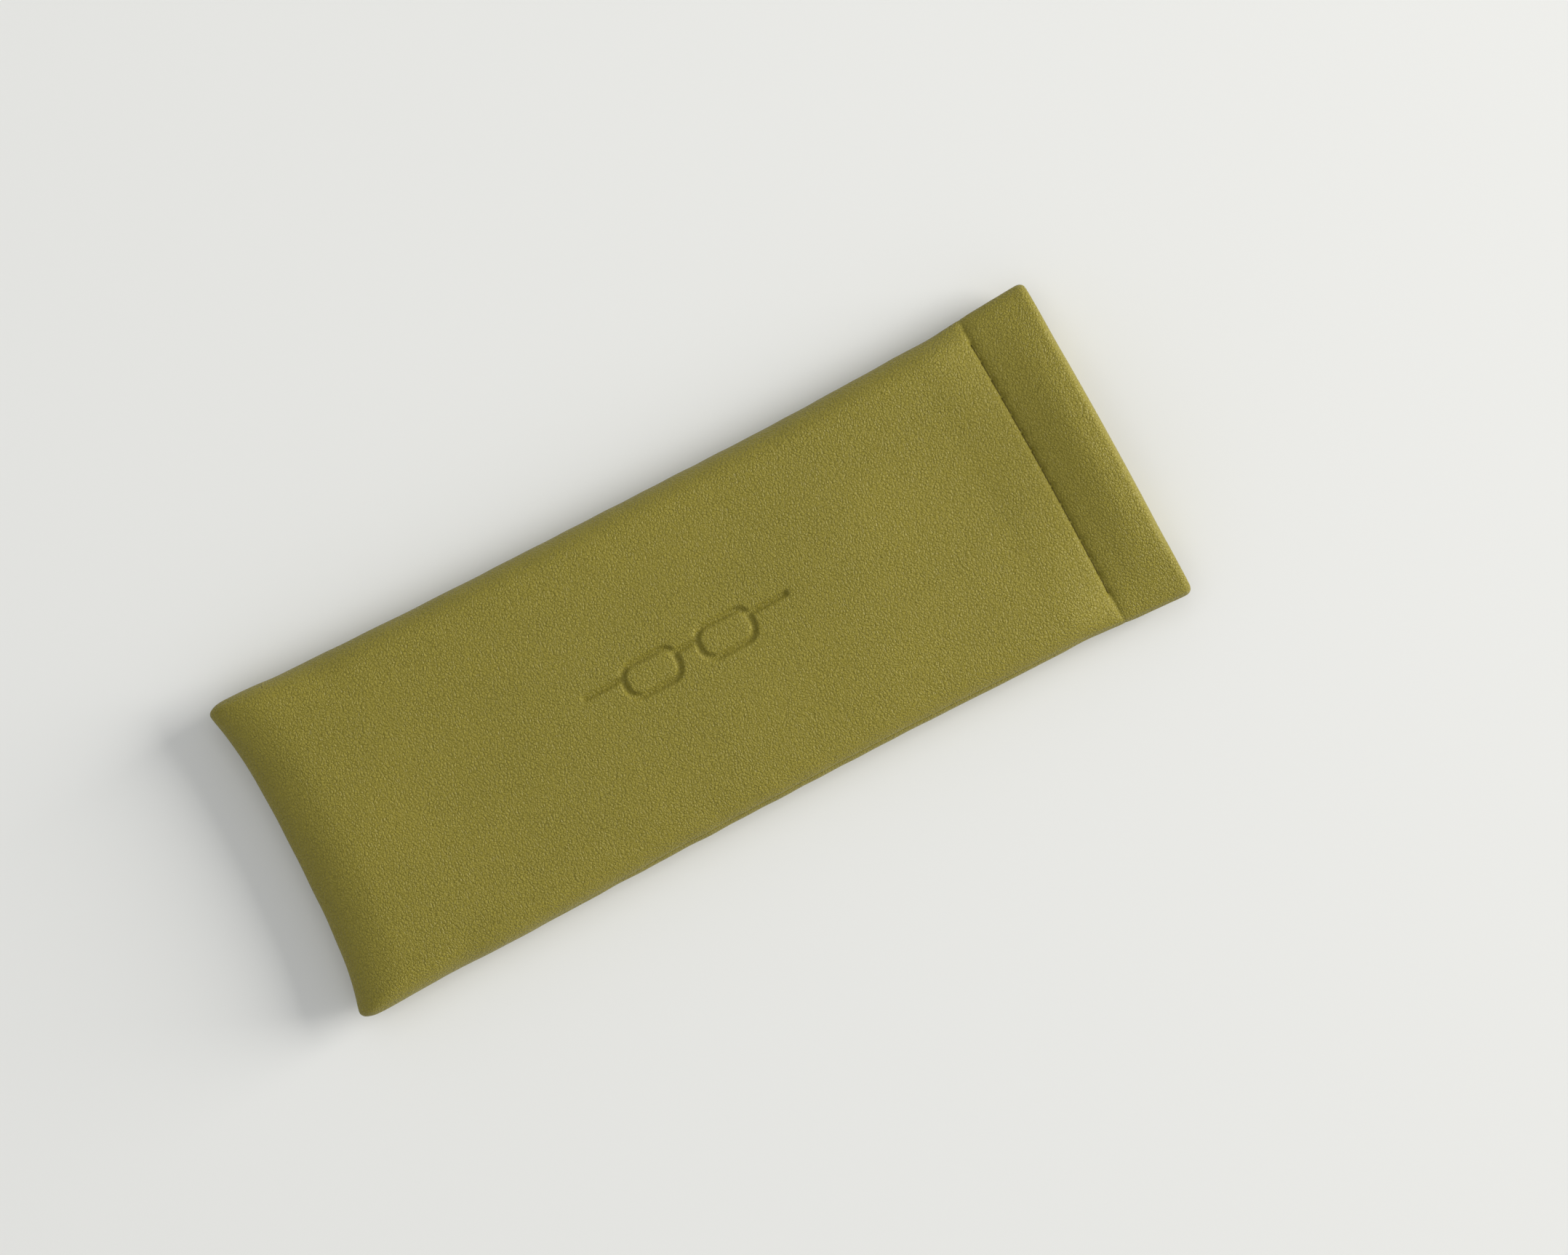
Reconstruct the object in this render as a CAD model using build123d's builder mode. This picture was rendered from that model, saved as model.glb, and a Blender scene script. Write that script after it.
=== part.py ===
from build123d import *
import os
from math import atan, cos, degrees, radians, sin, sqrt

# Soft pouch glasses case, millimetres. It lies on its back: X runs along it with the mouth at +X,
# Y across it and Z up. The origin is under the middle of the case, on the surface it rests on.
# The front and the back halves meet at the seam, half way up. Each half is leather over foam over
# lining, and a pinned pair of spring strips in the hems holds the mouth.

# Overall sizes
LENGTH = 190.0  # corner tips of the closed end to the lip of the mouth
CORNER_WIDTH = 72.0  # across the corners, where the case is widest
WAIST_WIDTH = 68.6  # across its middle
WAIST_X = 10.0  # where it is narrowest
THICKNESS = 14.0
END_HOLLOW = 2.6  # how far the closed end pulls in between its corners
CORNER_RADIUS = 3.0  # the four corners, seen from above
EDGE_RADIUS = 2.6  # how the leather turns from the faces to the sides

# Layers
LEATHER = 1.1
FOAM = 1.0
LINING = 0.5

# The seam round three sides
SEAM_GAP = 0.3  # between the leather of the two halves
ALLOWANCE = 3.0  # how far the turned-in edge of the leather reaches in from outside
SEAM_INSET = 2.0  # the line of stitches, in from outside
THREAD_DIAMETER = 0.5
THREAD_PLAY = 0.2  # round the seam thread, in the grooves that it has pulled
LEG_DIAMETER = 0.4  # the thread where it is pulled tight through the leather

# The hem round the mouth, with a channel for the spring
HEM_DEPTH = 17.0
HEM_CLEARANCE = 1.8  # between the inner layer of the hem and the tips of the clasps
STITCH_PITCH = 4.2
STITCH_INSET = 1.0  # from the edge of the hem to its stitches
STITCH_SINK = 0.2  # the thread lies this far under the leather's surface

# The spring: two strips, pinned together at their ends by clasps
PIN_CLEARANCE = 0.5  # between the knuckles and the turned-in edges
BOW_CLEARANCE = 0.55  # between the crown of a strip and the leather over it
PIN_DIAMETER = 1.5
PIN_LENGTH = 13.0
PIN_HEAD_DIAMETER = 2.2
PIN_HEAD_LENGTH = 0.4
PIN_PLAY = 0.05  # round the pin, in the knuckles
KNUCKLE_DIAMETER = 3.0
KNUCKLE_PLAY = 0.15  # between neighbouring knuckles, along the pin
CLASP_WIDTH = 12.0
CLASP_LENGTH = 11.0  # from the pin to the tip of the leaf
CLASP_WALL = 0.4
LEAF_GAP = 0.2  # between the roots of the front and the back leaf
NECK_THICKNESS = 1.0
STRIP_WIDTH = 12.0
STRIP_THICKNESS = 0.5
STRIP_START = 4.2  # the end of the strip, from the pin
STRIP_PLAY = 0.04  # each side of the strip, in the clasp
CHANNEL_PLAY = 0.2  # between the strip and the inner layer of the hem
RIVET_PLACE = 7.5  # from the pin
RIVET_DIAMETER = 1.4
RIVET_HEAD_DIAMETER = 2.4
RIVET_HEAD_LENGTH = 0.3
RIVET_HOLE_PLAY = 0.1  # round the rivet, in the strip

# The pressed mark on the front: a pair of spectacles with its temples spread
MARK_DEPTH = 0.4
MARK_LINE = 1.1
MARK_X = -2.0
LENS_WIDTH = 13.0
LENS_HEIGHT = 8.0
LENS_RADIUS = 3.4
LENS_SPACING = 17.0
MARK_WIDTH = 46.0
MARK_RISE = 1.6  # the bridge and the temples, above the middle of the lenses

# What follows from these
MIDDLE = THICKNESS / 2
FRONT_FLOOR = MIDDLE + SEAM_GAP / 2
CLOSED_X = -LENGTH / 2
MOUTH_X = LENGTH / 2
HEM_X = MOUTH_X - HEM_DEPTH
LIP_X = MOUTH_X - LEATHER
HEM_LINE_Z = THICKNESS - STITCH_SINK - THREAD_DIAMETER / 2  # the middle of the hem's thread
STITCH_REACH = CORNER_WIDTH / 2 - ALLOWANCE  # no stitch goes nearer to a side
SPRING_X = (HEM_X + STITCH_INSET + LIP_X) / 2  # the middle of the channel
CLASP_X = SPRING_X - CLASP_WIDTH / 2
SWELL = (CORNER_WIDTH - WAIST_WIDTH) / 2  # how far the sides stand out from waist to corner
SWELL_SHARE = (CLASP_X**2 - WAIST_X**2) / (MOUTH_X**2 - WAIST_X**2)  # of it, beside the clasps
CLASP_SIDE = WAIST_WIDTH / 2 + SWELL * SWELL_SHARE  # from the middle to the side there
PIN_Y = CLASP_SIDE - ALLOWANCE - PIN_CLEARANCE - KNUCKLE_DIAMETER / 2
CLASP_THICKNESS = STRIP_THICKNESS + 2 * (STRIP_PLAY + CLASP_WALL)
BOW_RISE = MIDDLE - LEATHER - BOW_CLEARANCE - STRIP_THICKNESS / 2
CLASP_TILT = 2 * degrees(atan(BOW_RISE / (CLASP_LENGTH + PIN_Y)))  # from the seam's plane
LEAF_RISE = LEAF_GAP / 2 + CLASP_THICKNESS / 2 * cos(radians(CLASP_TILT))
CLASP_ROOT = LEAF_RISE / sin(radians(CLASP_TILT))  # where the leaf begins, from the pin
TIP_Y = PIN_Y - CLASP_LENGTH * cos(radians(CLASP_TILT))
TIP_Z = MIDDLE + CLASP_LENGTH * sin(radians(CLASP_TILT))
HEM_HALF_WIDTH = TIP_Y - HEM_CLEARANCE
BOW_RADIUS = TIP_Y / sin(radians(CLASP_TILT))
BOW_Z = TIP_Z - BOW_RADIUS * cos(radians(CLASP_TILT))
HEM_OUTER_BOW = BOW_RADIUS - STRIP_THICKNESS / 2 - CHANNEL_PLAY
HEM_INNER_BOW = HEM_OUTER_BOW - LEATHER
PARTING = Plane.XY.offset(MIDDLE)
BEYOND = 2.0  # a cut runs this far past what it cuts


def pouch_outline(inset, mouth_x, open_mouth):
    """The plan of the case, drawn that far inside its outer outline and cut off at mouth_x.
    An open mouth keeps square corners."""
    corner = CORNER_WIDTH / 2 - inset
    waist = WAIST_WIDTH / 2 - inset
    closed = CLOSED_X + inset
    with BuildSketch() as outline:
        with BuildLine():
            ThreePointArc((closed, corner), (WAIST_X, waist), (MOUTH_X, corner))
            Line((MOUTH_X, corner), (MOUTH_X, -corner))
            ThreePointArc((MOUTH_X, -corner), (WAIST_X, -waist), (closed, -corner))
            ThreePointArc((closed, -corner), (closed + END_HOLLOW, 0), (closed, corner))
        make_face()
        if mouth_x < MOUTH_X:
            with Locations((mouth_x, 0)):
                Rectangle(
                    LENGTH, CORNER_WIDTH, align=(Align.MIN, Align.CENTER), mode=Mode.SUBTRACT
                )
        turn = CORNER_RADIUS - inset
        if turn > 0:
            corners = outline.vertices()
            if open_mouth:
                corners = corners.filter_by(lambda v: v.X < WAIST_X)
            fillet(corners, turn)
    return outline.sketch


def pillow(inset, mouth_x, floor, open_mouth):
    """The front half's shape at that inset, from floor up. An open mouth keeps its edge sharp."""
    with BuildPart() as shape:
        with BuildSketch(Plane.XY.offset(floor)):
            add(pouch_outline(inset, mouth_x, open_mouth))
        extrude(amount=THICKNESS - inset - floor)
        turn = EDGE_RADIUS - inset
        if turn > 0:
            rim = shape.faces().sort_by(Axis.Z)[-1].edges()
            if open_mouth:
                rim = rim.filter_by(lambda e: e.center().X < mouth_x - CORNER_RADIUS)
            fillet(rim, turn)
    return shape.part


def bow_band(outer, inner, half_width, x_start, x_end):
    """A band bent round the spring's bow, between two radii, half_width each side of the middle."""
    with BuildPart() as band:
        with BuildSketch(Plane.YZ.offset(x_start)):
            with Locations((0, BOW_Z)):
                Circle(outer)
                if inner:
                    Circle(inner, mode=Mode.SUBTRACT)
            with Locations((0, FRONT_FLOOR)):
                Rectangle(
                    2 * half_width,
                    THICKNESS,
                    align=(Align.CENTER, Align.MIN),
                    mode=Mode.INTERSECT,
                )
        extrude(amount=x_end - x_start)
    return band.part


def seam_line(thickness):
    """A square line along the three-sided seam, as high as it is wide, where the halves meet."""
    end_x = LIP_X - SEAM_GAP
    with BuildPart() as line:
        with BuildSketch(PARTING.offset(-thickness / 2)):
            add(pouch_outline(SEAM_INSET - thickness / 2, end_x, True))
            add(pouch_outline(SEAM_INSET + thickness / 2, end_x, True), mode=Mode.SUBTRACT)
        extrude(amount=thickness)
    return line


# The front half's leather, before its mark: a tray with its edges turned in round three sides and
# its hem turned in at the mouth
outside = pillow(0, MOUTH_X, FRONT_FLOOR, False)
hollow = pillow(LEATHER, LIP_X, FRONT_FLOOR + LEATHER, False)
hem_layer = bow_band(HEM_OUTER_BOW, HEM_INNER_BOW, HEM_HALF_WIDTH, HEM_X, MOUTH_X - LEATHER / 2)
mouth_lens = bow_band(HEM_INNER_BOW, 0, PIN_Y, LIP_X - BEYOND, MOUTH_X + BEYOND)
allowance_edge = pouch_outline(ALLOWANCE, LIP_X, True)
seam_groove = seam_line(THREAD_DIAMETER + 2 * THREAD_PLAY)


def stitch_places():
    """Where the hem's stitches go through, across the case."""
    count = int(STITCH_REACH / STITCH_PITCH)
    return [n * STITCH_PITCH for n in range(-count, count + 1)]


def hem_thread():
    """The needle thread of the front hem: a line along the leather and a leg down each hole."""
    stitch_x = HEM_X + STITCH_INSET
    places = stitch_places()
    with BuildPart() as thread:
        with BuildSketch(Plane.XZ.offset(-places[-1])):
            with Locations((stitch_x, HEM_LINE_Z)):
                Circle(THREAD_DIAMETER / 2)
        extrude(amount=places[-1] - places[0])
        for place in places:
            inner_z = BOW_Z + sqrt(HEM_INNER_BOW**2 - place**2)
            through_z = THICKNESS - LEATHER
            leg_z = inner_z if abs(place) < HEM_HALF_WIDTH else through_z
            with BuildSketch(Plane.XY.offset(leg_z)):
                with Locations((stitch_x, place)):
                    Circle(LEG_DIAMETER / 2)
            extrude(amount=HEM_LINE_Z - leg_z)
    return thread


front_hem_thread = hem_thread()

with BuildPart() as leather_half:
    add(outside)
    add(hollow, mode=Mode.SUBTRACT)
    with BuildSketch(Plane.XY.offset(FRONT_FLOOR)):
        add(allowance_edge)
    extrude(amount=LEATHER, mode=Mode.SUBTRACT)
    add(mouth_lens, mode=Mode.SUBTRACT)
    add(hem_layer)
    add(seam_groove.part, mode=Mode.SUBTRACT)
    add(front_hem_thread.part, mode=Mode.SUBTRACT)
    with BuildSketch(Plane.XY.offset(HEM_LINE_Z)):
        with Locations((HEM_X + STITCH_INSET, 0)):
            Rectangle(THREAD_DIAMETER, 2 * stitch_places()[-1])
    extrude(amount=THICKNESS, mode=Mode.SUBTRACT)

# The leather of each half. Only the front is pressed with the mark
with BuildPart() as front_panel:
    add(leather_half.part)
    with BuildSketch(Plane.XY.offset(THICKNESS - MARK_DEPTH)):
        with Locations(
            (MARK_X - LENS_SPACING / 2, 0),
            (MARK_X + LENS_SPACING / 2, 0),
        ):
            RectangleRounded(LENS_WIDTH, LENS_HEIGHT, LENS_RADIUS)
            RectangleRounded(
                LENS_WIDTH - 2 * MARK_LINE,
                LENS_HEIGHT - 2 * MARK_LINE,
                LENS_RADIUS - MARK_LINE,
                mode=Mode.SUBTRACT,
            )
        with Locations((MARK_X, MARK_RISE)):
            Rectangle(LENS_SPACING - LENS_WIDTH + MARK_LINE, MARK_LINE)
        temple = (MARK_WIDTH - LENS_SPACING - LENS_WIDTH) / 2
        for side in (-1, 1):
            start = MARK_X + side * ((LENS_SPACING + LENS_WIDTH + temple) / 2)
            with Locations((start, MARK_RISE)):
                Rectangle(temple + MARK_LINE, MARK_LINE)
    extrude(amount=MARK_DEPTH + BEYOND, mode=Mode.SUBTRACT)


def turned_over(front):
    """The back half's copy of a front piece."""
    with BuildPart() as back:
        mirror(front.part, about=PARTING)
    return back


back_panel = turned_over(leather_half)

# Foam and lining, up to the hem
LAYER_FLOOR = FRONT_FLOOR + LEATHER
foam_outside = pillow(LEATHER, HEM_X, LAYER_FLOOR, True)
foam_inside = pillow(LEATHER + FOAM, HEM_X + BEYOND, LAYER_FLOOR, True)
lining_outside = pillow(LEATHER + FOAM, HEM_X, LAYER_FLOOR, True)
lining_inside = pillow(LEATHER + FOAM + LINING, HEM_X + BEYOND, LAYER_FLOOR, True)

with BuildPart() as front_padding:
    add(foam_outside)
    add(foam_inside, mode=Mode.SUBTRACT)

with BuildPart() as front_lining:
    add(lining_outside)
    add(lining_inside, mode=Mode.SUBTRACT)

back_padding = turned_over(front_padding)
back_lining = turned_over(front_lining)

# The thread of the three-sided seam, and the back hem's
seam_thread = seam_line(THREAD_DIAMETER)
back_hem_thread = turned_over(front_hem_thread)

# The spring strips: bowed between the clasps, straight inside them
strip_bow = bow_band(
    BOW_RADIUS + STRIP_THICKNESS / 2,
    BOW_RADIUS - STRIP_THICKNESS / 2,
    TIP_Y,
    SPRING_X - STRIP_WIDTH / 2,
    SPRING_X + STRIP_WIDTH / 2,
)


def on_leaf(side, distance):
    """The place that far from a front pin along its leaf, turned with the leaf, seen along X."""
    lean = radians(CLASP_TILT)
    y = side * (PIN_Y - distance * cos(lean))
    z = MIDDLE + distance * sin(lean)
    return Location((y, z, 0), (0, 0, -side * CLASP_TILT))


def along_leaf(side, near, far, thickness, x_start, x_end):
    """A bar on a front leaf, between two distances from its pin."""
    with BuildPart() as bar:
        with BuildSketch(Plane.YZ.offset(x_start)):
            with Locations(on_leaf(side, (near + far) / 2)):
                Rectangle(far - near, thickness)
        extrude(amount=x_end - x_start)
    return bar.part


def through_leaf(side, diameter, length):
    """A round bar square through a front leaf, where its rivet goes."""
    place = on_leaf(side, RIVET_PLACE)
    axis = Plane(
        origin=(SPRING_X, place.position.X, place.position.Y),
        z_dir=(0, side * sin(radians(CLASP_TILT)), cos(radians(CLASP_TILT))),
    )
    with BuildPart() as bar:
        with BuildSketch(axis.offset(-length / 2)):
            Circle(diameter / 2)
        extrude(amount=length)
    return bar.part


strip_ends = [
    along_leaf(
        side,
        STRIP_START,
        CLASP_LENGTH,
        STRIP_THICKNESS,
        SPRING_X - STRIP_WIDTH / 2,
        SPRING_X + STRIP_WIDTH / 2,
    )
    for side in (-1, 1)
]
strip_holes = [
    through_leaf(side, RIVET_DIAMETER + 2 * RIVET_HOLE_PLAY, CLASP_THICKNESS + BEYOND)
    for side in (-1, 1)
]

with BuildPart() as front_spring_strip:
    add(strip_bow)
    add(strip_ends)
    add(strip_holes, mode=Mode.SUBTRACT)

back_spring_strip = turned_over(front_spring_strip)


def round_on_pin(side, diameter, x_start, x_end):
    """A round bar on a pin's axis."""
    with BuildPart() as bar:
        with BuildSketch(Plane.YZ.offset(x_start)):
            with Locations((side * PIN_Y, MIDDLE)):
                Circle(diameter / 2)
        extrude(amount=x_end - x_start)
    return bar.part


def clasp(side, outer_knuckles):
    """A folded clasp on the front strip, with two outer knuckles or the single middle one."""
    quarter = CLASP_WIDTH / 4
    end = CLASP_X + CLASP_WIDTH
    if outer_knuckles:
        spans = [
            (CLASP_X, CLASP_X + quarter - KNUCKLE_PLAY / 2),
            (end - quarter + KNUCKLE_PLAY / 2, end),
        ]
    else:
        spans = [(CLASP_X + quarter + KNUCKLE_PLAY / 2, end - quarter - KNUCKLE_PLAY / 2)]
    leaf = along_leaf(side, CLASP_ROOT, CLASP_LENGTH, CLASP_THICKNESS, CLASP_X, end)
    slot = along_leaf(
        side,
        STRIP_START - STRIP_PLAY,
        CLASP_LENGTH + BEYOND,
        STRIP_THICKNESS + 2 * STRIP_PLAY,
        CLASP_X - BEYOND,
        end + BEYOND,
    )
    barrels = [round_on_pin(side, KNUCKLE_DIAMETER, a, b) for a, b in spans]
    necks = [along_leaf(side, 0, CLASP_ROOT + CLASP_WALL, NECK_THICKNESS, a, b) for a, b in spans]
    bore = round_on_pin(side, PIN_DIAMETER + 2 * PIN_PLAY, CLASP_X - BEYOND, end + BEYOND)
    rivet_hole = through_leaf(side, RIVET_DIAMETER, CLASP_THICKNESS + BEYOND)
    with BuildPart() as made:
        add(leaf)
        add(barrels)
        add(necks)
        add(slot, mode=Mode.SUBTRACT)
        add(bore, mode=Mode.SUBTRACT)
        add(rivet_hole, mode=Mode.SUBTRACT)
    return made


def rivet(side):
    """The rivet that holds a front clasp to its strip."""
    shank = through_leaf(side, RIVET_DIAMETER, CLASP_THICKNESS + 2 * RIVET_HEAD_LENGTH)
    heads = through_leaf(side, RIVET_HEAD_DIAMETER, CLASP_THICKNESS + 2 * RIVET_HEAD_LENGTH)
    between = through_leaf(side, RIVET_HEAD_DIAMETER + BEYOND, CLASP_THICKNESS)
    with BuildPart() as made:
        add(heads)
        add(between, mode=Mode.SUBTRACT)
        add(shank)
    return made


def pin(side):
    """A pin with a head at each end."""
    start = SPRING_X - PIN_LENGTH / 2
    end = SPRING_X + PIN_LENGTH / 2
    shank = round_on_pin(side, PIN_DIAMETER, start, end)
    head_start = round_on_pin(side, PIN_HEAD_DIAMETER, start, start + PIN_HEAD_LENGTH)
    head_end = round_on_pin(side, PIN_HEAD_DIAMETER, end - PIN_HEAD_LENGTH, end)
    with BuildPart() as made:
        add(shank)
        add(head_start)
        add(head_end)
    return made


pieces = {
    "front_panel": front_panel,
    "back_panel": back_panel,
    "front_padding": front_padding,
    "back_padding": back_padding,
    "front_lining": front_lining,
    "back_lining": back_lining,
    "front_hem_thread": front_hem_thread,
    "back_hem_thread": back_hem_thread,
    "seam_thread": seam_thread,
    "front_spring_strip": front_spring_strip,
    "back_spring_strip": back_spring_strip,
}
for name, side in (("left", -1), ("right", 1)):
    pieces[f"front_{name}_clasp"] = clasp(side, True)
    pieces[f"back_{name}_clasp"] = turned_over(clasp(side, False))
    pieces[f"front_{name}_rivet"] = rivet(side)
    pieces[f"back_{name}_rivet"] = turned_over(rivet(side))
    pieces[f"{name}_pin"] = pin(side)

os.makedirs("parts", exist_ok=True)
for name, piece in pieces.items():
    piece.part.label = name
    export_step(piece.part, f"parts/{name}.step")
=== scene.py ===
from math import cos, pi, radians, sin

import bmesh
import bpy
import numpy as np
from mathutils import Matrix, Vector


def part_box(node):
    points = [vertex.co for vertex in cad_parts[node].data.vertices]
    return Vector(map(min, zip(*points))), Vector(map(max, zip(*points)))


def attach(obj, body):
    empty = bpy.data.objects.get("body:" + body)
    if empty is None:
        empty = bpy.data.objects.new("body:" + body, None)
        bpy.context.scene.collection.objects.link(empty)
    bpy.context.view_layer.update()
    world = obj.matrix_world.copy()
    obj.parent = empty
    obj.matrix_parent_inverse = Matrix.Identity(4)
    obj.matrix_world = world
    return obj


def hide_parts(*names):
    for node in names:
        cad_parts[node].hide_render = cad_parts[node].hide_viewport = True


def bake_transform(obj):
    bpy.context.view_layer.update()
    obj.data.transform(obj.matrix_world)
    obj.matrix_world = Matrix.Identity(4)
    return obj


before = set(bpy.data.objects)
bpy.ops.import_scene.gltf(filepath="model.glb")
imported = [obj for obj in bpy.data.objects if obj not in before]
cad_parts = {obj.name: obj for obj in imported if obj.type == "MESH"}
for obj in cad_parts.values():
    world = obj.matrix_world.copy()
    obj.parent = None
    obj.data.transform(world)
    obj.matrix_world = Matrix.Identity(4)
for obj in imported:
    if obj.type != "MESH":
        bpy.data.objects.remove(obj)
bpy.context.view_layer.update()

bl_info = {
    "name": "Soft pouch glasses case",
    "version": (1, 0, 0),
    "blender": (4, 5, 0),
    "location": "3D View > Sidebar > Glasses Case",
    "description": "Makes the leather, foam, linings, springs and threads of a soft glasses case",
    "category": "Add Mesh",
}

MM = 0.001
# Shapes are worked out in millimetres and stored in metres


def node_box(name):
    """A CAD node's box in millimetres."""
    low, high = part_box(name)
    return np.array(low) / MM, np.array(high) / MM


# Places that the frame gives, in millimetres
PANEL_LOW, PANEL_HIGH = node_box("front_panel")
CLOSED_X = -95.0
MOUTH_X = PANEL_HIGH[0]
TOP_Z = PANEL_HIGH[2]
SEAM_Z = TOP_Z / 2
PIN_LOW, PIN_HIGH = node_box("right_pin")
PIN_Y = (PIN_LOW[1] + PIN_HIGH[1]) / 2
STRIP_LOW, STRIP_HIGH = node_box("front_spring_strip")
CROWN_Z = STRIP_HIGH[2]
STITCH_X = sum(b[0] for b in node_box("front_hem_thread")) / 2
CLASP_LOW, CLASP_HIGH = node_box("front_right_clasp")


# ---------------------------------------------------------------- sizes and colours


class CaseSizes(bpy.types.PropertyGroup):
    """Sizes of the soft parts, in millimetres unless a property says otherwise."""

    leather: bpy.props.FloatProperty(
        name="Leather", description="Thickness of the leather, mm", default=1.1, min=0.4
    )
    foam: bpy.props.FloatProperty(
        name="Foam", description="Thickness of the foam, mm", default=1.0, min=0.2
    )
    lining: bpy.props.FloatProperty(
        name="Lining", description="Thickness of the lining, mm", default=0.5, min=0.2
    )
    waist: bpy.props.FloatProperty(
        name="Waist", description="Width across the middle, mm", default=68.6
    )
    end_hollow: bpy.props.FloatProperty(
        name="End hollow", description="How far the closed end pulls in, mm", default=2.65
    )
    edge_rise: bpy.props.FloatProperty(
        name="Edge rise", description="Height of the rounded edge above the seam, mm", default=5.5
    )
    crown: bpy.props.FloatProperty(
        name="Crown", description="Rise of the middle over the rounded edge, mm", default=1.1
    )
    hem_sink: bpy.props.FloatProperty(
        name="Hem sink", description="Depth of the valley at the hem's stitches, mm", default=0.95
    )
    mark_depth: bpy.props.FloatProperty(
        name="Mark depth", description="Depth of the pressed mark, mm", default=0.65
    )
    stitch_pitch: bpy.props.FloatProperty(
        name="Stitch pitch", description="From one stitch hole to the next, mm", default=4.2
    )
    thread: bpy.props.FloatProperty(
        name="Thread", description="Diameter of the thread, mm", default=0.5
    )


class CaseColours(bpy.types.PropertyGroup):
    """Colours of the materials, as linear values."""

    leather: bpy.props.FloatVectorProperty(
        name="Leather", description="Olive leather", subtype="COLOR", default=(0.262, 0.221, 0.024)
    )
    # painted shade: the darker colour that the leather gets in its creases and round the low rims of
    # its pebbles
    shaded_crease: bpy.props.FloatVectorProperty(
        name="Crease", description="Leather in its creases", subtype="COLOR",
        default=(0.175, 0.146, 0.010),
    )
    flesh: bpy.props.FloatVectorProperty(
        name="Flesh side", description="Back of the leather", subtype="COLOR",
        default=(0.36, 0.30, 0.16),
    )
    lining: bpy.props.FloatVectorProperty(
        name="Lining", description="Napped lining", subtype="COLOR", default=(0.20, 0.165, 0.045)
    )
    foam: bpy.props.FloatVectorProperty(
        name="Foam", description="Foam sheet", subtype="COLOR", default=(0.62, 0.60, 0.52)
    )
    thread: bpy.props.FloatVectorProperty(
        name="Thread", description="Sewing thread", subtype="COLOR", default=(0.075, 0.061, 0.008)
    )
    floor: bpy.props.FloatVectorProperty(
        name="Floor", description="Pale floor", subtype="COLOR", default=(0.80, 0.80, 0.775)
    )


def sizes():
    return bpy.context.scene.case_sizes


def colours():
    return bpy.context.scene.case_colours


# ---------------------------------------------------------------- the shape of the case


def ease(low, high, value):
    """0 below low, 1 above high and smooth between."""
    share = np.clip((value - low) / (high - low), 0.0, 1.0)
    return share * share * (3.0 - 2.0 * share)


def bell(value, width):
    return np.exp(-((value / width) ** 2))


def half_width(x):
    """Half the width of the case in plan, at each x."""
    closed = CLOSED_SWELL * np.clip((WAIST_X - x) / (WAIST_X - CLOSED_X), 0.0, None) ** 2.2
    mouth = 0.15 * ease(25.0, 65.0, x) + HEM_SWELL * ease(70.0, 82.0, x)
    flare = MOUTH_FLARE * np.clip(x - 80.0, 0.0, None)
    return sizes().waist / 2 + closed + mouth + flare


def side_extra(x, side):
    """How much further out than half_width each side stands."""
    right = RIGHT_EXTRA * (0.25 + 0.75 * ease(-92.0, -55.0, x))
    return np.where(side < 0, right, -LEFT_HOLLOW * bell(x - 45.0, 32.0))


def closed_edge(y):
    """Where the closed end is, at each y."""
    share = np.clip(np.abs(y) / END_HALF_WIDTH, 0.0, 1.0) ** END_CURVE
    return CLOSED_X - END_SPREAD + sizes().end_hollow * (1.0 - share)


WAIST_X = 10.0  # where the case is narrowest
CLOSED_SWELL = 1.85  # how much further out than the waist each side is at the closed end
HEM_SWELL = 0.75  # the same at the hem
MOUTH_FLARE = 0.05  # each side's slant outwards, from the hem's stitches to the mouth
END_HALF_WIDTH = 34.0
END_CURVE = 3.5  # how late the closed end bends out towards its corners
END_SPREAD = 0.7  # the soft corners reach this far past the frame's closed end
EDGE_RUN = 5.2  # how far in from the sides the rounded edge reaches
END_RUN = 12.5  # the same at the closed end
CORNER_POWER = 5.0  # how square the corners of the closed end are
HEM_EDGE_RISE = 3.6  # height of the rounded edge over the seam, at the hem
HEM_CROWN = 3.6  # rise of the middle over the rounded edge, at the hem's stitches
HEM_BULGE = 1.6  # how much further the hem stands up at the mouth than at its stitches
LIP_DROP = 0.35  # how much the hem falls again towards the lip
LIP_RUN = 1.7  # how far the lip stands out past where it starts to turn
LIP_START = 187.5  # from the closed end, where the lip starts to turn
LEFT_HOLLOW = 0.45  # how far the left-hand side draws in between the middle and the hem
RIGHT_EXTRA = 1.0  # the right-hand side stands out this much more than the left
SEAM_ROLL = 2.1  # how far the right-hand seam rolls up
CLOSED_SLANT, MOUTH_SLANT = 0.5, 0.8  # how far the ends slant, at 35 mm from the middle
FLAT_REACH = 30.1  # nominal half width of the face between the rounded edges
MARK_REACH = 5.6  # the mark lies this near the middle, in finer rows
EDGE_TURNS = 14
SIM_TURNS = 5


def edge_rise(x, front):
    """Height of the rounded edge over the seam. The back is flat on the table, so its edge turns
    the whole way down, and at the hem both edges are pinned flatter."""
    body = sizes().edge_rise if front else SEAM_Z
    return body + (HEM_EDGE_RISE - body) * ease(68.0, 84.0, x)


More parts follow.
